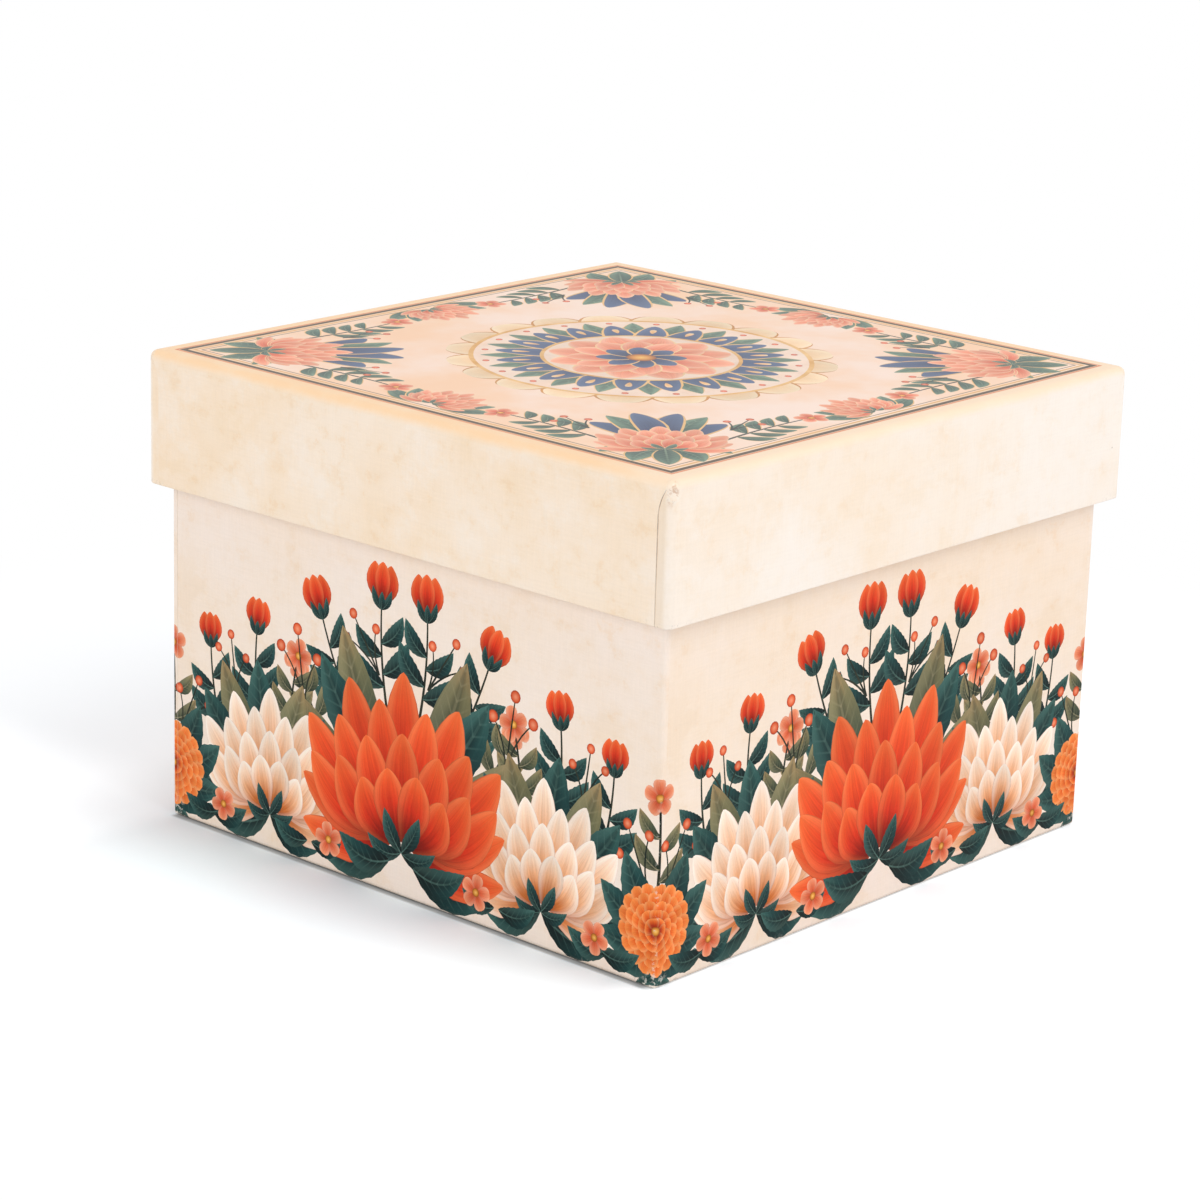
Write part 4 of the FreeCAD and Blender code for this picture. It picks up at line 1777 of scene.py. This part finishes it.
    def build(self) -> bpy.types.Object:
        """Fold the sheet, dress it and hang it on the lid.

        Returns:
            The sheet.
        """
        art = LidPrint().draw()
        paper = PrintPaper(half=self.half, foot=self.bottom, rub=0.25, gloss=0.85, crest=self.top - 2.2)
        ground = LidGround(self.skirt, self.setback - self.corner, self.curl)
        materials = [ground.material(paper)] + [ink.material(paper) for ink in art.inks()]
        materials.append(BARE_PAPER.material())
        sheet = FoldedSheet("lid_printed_wrap", self._outline(), self._creases(), art)
        wrap = sheet.build(self._place, self._bent, materials)
        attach(wrap, "lid")
        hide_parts("lid_wrap")
        return wrap


@dataclass
class Boards:
    """Boards, tapes and lining papers that keep their CAD shapes and get their finishes here."""

    finishes: dict[str, Stock] = field(default_factory=lambda: {
        "board": GREYBOARD, "stay": STAY_TAPE, "lining": LINING, "sheet": BOTTOM_SHEET,
    })

    def dress(self) -> list[bpy.types.Object]:
        """Give each carried-over node the finish that its name ends in.

        Returns:
            The nodes that were dressed.
        """
        dressed = []
        made = {word: stock.material() for word, stock in self.finishes.items()}
        for name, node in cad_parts.items():
            word = name.rsplit("_", 1)[-1]
            if word in made:
                node.data.materials.clear()
                node.data.materials.append(made[word])
                dressed.append(node)
        return dressed


@dataclass(frozen=True)
class FloorWhite:
    """White floor that keeps the box's shadow and turns plain white further out.

    Half is the distance from the middle to the box's walls. The glow is painted light that stands in for
    what the white room adds, from its first value beside the walls to its second one at the reach, with
    painted shade on the left side and a painted contact shadow along the foot. Lengths are in metres.
    """

    half: float
    plain: str = "F7FBFF"
    cloud: str = "F4F8FC"
    painted_cool_tint: str = "E9F9FF"
    # painted contact shadow on the floor along the walls' foot: its colour, strength and width, and how
    # much it dims the glow
    painted_contact_shadow: str = "84807C"
    painted_shadow_amount: float = 0.65
    painted_shadow_width: tuple[float, float] = (0.0003, 0.0014)
    painted_shadow_dim: float = 0.8
    glow: tuple[float, float] = (0.03, 0.33)
    reach: float = 0.03
    lit_share: float = 0.38
    shade_drop: float = 0.11
    painted_corner_light: float = 0.1
    fade: tuple[float, float] = (0.11, 0.22)

    def material(self) -> bpy.types.Material:
        """Build the floor's material.

        Returns:
            The material.
        """
        nodes = Nodes.named("floor_white")
        x, y, _ = nodes.place()
        aside = (abs(x) - self.half).most(0.0)
        ahead = (abs(y) - self.half).most(0.0)
        away = (aside * aside + ahead * ahead) ** 0.5
        # foot is the painted contact shadow along the foot of the front and back walls
        foot = self._painted_contact_shadow(x, away)
        colour = nodes.mix(self._colour(nodes, x, y, away), self.painted_contact_shadow, foot * self.painted_shadow_amount)
        paper = nodes.add("ShaderNodeBsdfDiffuse", None, {"Color": colour})
        seen = nodes.seen()
        # the glow is dimmed under the painted contact shadow
        lift = seen * (self._lift(x, y, away) * (1.0 - foot * self.painted_shadow_dim))
        glow = nodes.add("ShaderNodeEmission", None, {"Color": nodes.spot(lift, lift, lift)})
        lifted = nodes.add("ShaderNodeAddShader", None, {0: paper.outputs[0], 1: glow.outputs[0]})
        white = nodes.add("ShaderNodeEmission", None, {"Strength": 1.0})
        far = ((x * x + y * y) ** 0.5).rise(*self.fade) * seen
        mix = nodes.add("ShaderNodeMixShader", None, {0: far, 1: lifted.outputs[0], 2: white.outputs[0]})
        nodes.add("ShaderNodeOutputMaterial", None, {0: mix.outputs[0]})
        return nodes.owner

    def _painted_contact_shadow(self, x: Field, away: Field) -> Field:
        """Find the painted contact shadow: a thin dark line on the floor along the foot of the front and
        back walls.

        Args:
            x: Place to the right.
            away: Distance from the box.

        Returns:
            Strength of the line.
        """
        left = (-1.0 * x).rise(self.half - 0.001, self.half + 0.0005)
        beside = x.rise(self.half - 0.003, self.half - 0.0002).most(left)
        return (1.0 - away.rise(*self.painted_shadow_width)) * (1.0 - beside)

    def _colour(self, nodes: Nodes, x: Field, y: Field, away: Field) -> Socket:
        """Colour the floor, with a cool tint painted in front against the warm light that the box throws on
        it.

        Args:
            nodes: The material's nodes.
            x: Place to the right.
            y: Place towards the back.
            away: Distance from the box.

        Returns:
            The colour.
        """
        colour = nodes.mix(self.plain, self.cloud, nodes.noise(nodes.spot(x, y), 3.0))
        # painted cool tint in front of the box, cancelling its warm reflected light
        warm = (-1.0 * y).rise(self.half - 0.01, self.half + 0.012) * (1.0 - away.rise(0.02, 0.1))
        warm = warm * x.rise(-0.08, -0.03) * (1.0 - x.rise(0.0, 0.05) * 0.5)
        return nodes.mix(colour, self.painted_cool_tint, warm)

    def _lift(self, x: Field, y: Field, away: Field) -> Field:
        """Work out the glow painted on the floor, which stands in for the white room's light: fuller on the
        lit right side and behind the box, with painted shade on the left side and painted light by the
        front-left corner.

        Args:
            x: Place to the right.
            y: Place towards the back.
            away: Distance from the box.

        Returns:
            The light.
        """
        half = self.half
        low, high = self.glow
        # painted light on the right and behind the box, painted shade on the left, painted light by the
        # front-left corner
        behind = y.rise(half - 0.002, half + 0.01) * x.rise(0.0, half)
        lit = x.rise(half - 0.014, half + 0.001).most(behind)
        shaded = (-1.0 * x).rise(half - 0.03, half + 0.02)
        corner = (-1.0 * x).rise(half - 0.004, half + 0.006) * (1.0 - y.rise(-half, 0.02 - half))
        near = away.rise(0.0, self.reach) + x.rise(-0.02, half) * self.lit_share
        open_floor = near.least(1.0).most(lit)
        return low + open_floor * (high - low - shaded * self.shade_drop) + corner * self.painted_corner_light


@dataclass
class Studio:
    """White floor, soft light from the right and the camera of the photograph."""

    azimuth: float = 41.8126
    elevation: float = 16.3723
    roll: float = 1.7125
    aim: tuple[float, float, float] = (-0.00498547, 0.04144835, 0.72073607)
    lens: float = 114.246
    sensor: float = 36.0
    nearest: float = 0.01
    floor_half: float = 4.0
    room_light: float = 0.66
    white: tuple[float, float, float, float] = (1.0, 1.0, 1.0, 1.0)
    lamps: tuple[tuple[str, tuple[float, float, float], float, float], ...] = (
        ("key_light", (1.05, 0.22, 0.98), 1.3, 8.0),
        ("fill_light", (-0.3, -1.4, 0.7), 1.0, 5.4),
    )

    def camera(self) -> None:
        """Place the camera."""
        turn = math.radians(self.azimuth)
        tilt = math.radians(self.elevation)
        back = Vector((math.sin(turn) * math.cos(tilt), -math.cos(turn) * math.cos(tilt), math.sin(tilt)))
        right = Vector((math.cos(turn), math.sin(turn), 0.0))
        up = back.cross(right)
        lean = math.radians(self.roll)
        across = right * math.cos(lean) + up * math.sin(lean)
        above = up * math.cos(lean) - right * math.sin(lean)
        data = bpy.data.cameras.new("camera")
        data.lens = self.lens
        data.sensor_width = self.sensor
        data.clip_start = self.nearest
        camera = put("camera", data)
        axes = Matrix((across, above, back)).transposed()
        spot = across * self.aim[0] + above * self.aim[1] + back * self.aim[2]
        camera.matrix_world = Matrix.Translation(spot) @ axes.to_4x4()
        bpy.context.scene.camera = camera

    def floor(self) -> None:
        """Lay the floor."""
        mesh = bmesh.new()
        bmesh.ops.create_grid(mesh, x_segments=1, y_segments=1, size=self.floor_half)
        data = bpy.data.meshes.new("floor")
        mesh.to_mesh(data)
        mesh.free()
        data.materials.append(FloorWhite(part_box("base_wrap")[1][0]).material())
        floor = put("floor", data)

    def lights(self) -> None:
        """Hang the lamps and light the room."""
        for name, spot, size, power in self.lamps:
            data = bpy.data.lights.new(name, "AREA")
            data.shape = "DISK"
            data.size = size
            data.energy = power
            lamp = put(name, data)
            lamp.location = spot
            lamp.rotation_euler = (-Vector(spot)).to_track_quat("-Z", "Y").to_euler()
        nodes = Nodes(bpy.data.worlds.new("studio"))
        bpy.context.scene.world = nodes.owner
        room, back = (
            nodes.add("ShaderNodeBackground", None, {"Color": self.white, "Strength": strength}).outputs[0]
            for strength in (self.room_light, 1.0)
        )
        mix = nodes.add("ShaderNodeMixShader", None, {0: nodes.seen(), 1: room, 2: back})
        nodes.add("ShaderNodeOutputWorld", None, {0: mix.outputs[0]})

    def build(self) -> None:
        """Set up the studio."""
        bpy.context.scene.view_settings.view_transform = "Standard"
        self.camera()
        self.floor()
        self.lights()


def main() -> None:
    """Build the box and its studio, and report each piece."""
    logging.basicConfig(level=logging.INFO, format="%(name)s %(message)s")
    Studio().build()
    for piece in (*BaseWrap().build(), LidWrap().build(), *Boards().dress()):
        finish = piece.data.materials[0].name
        LOG.info("%s: %d faces, %s", piece.name, len(piece.data.polygons), finish)


if __name__ == "__main__":
    main()
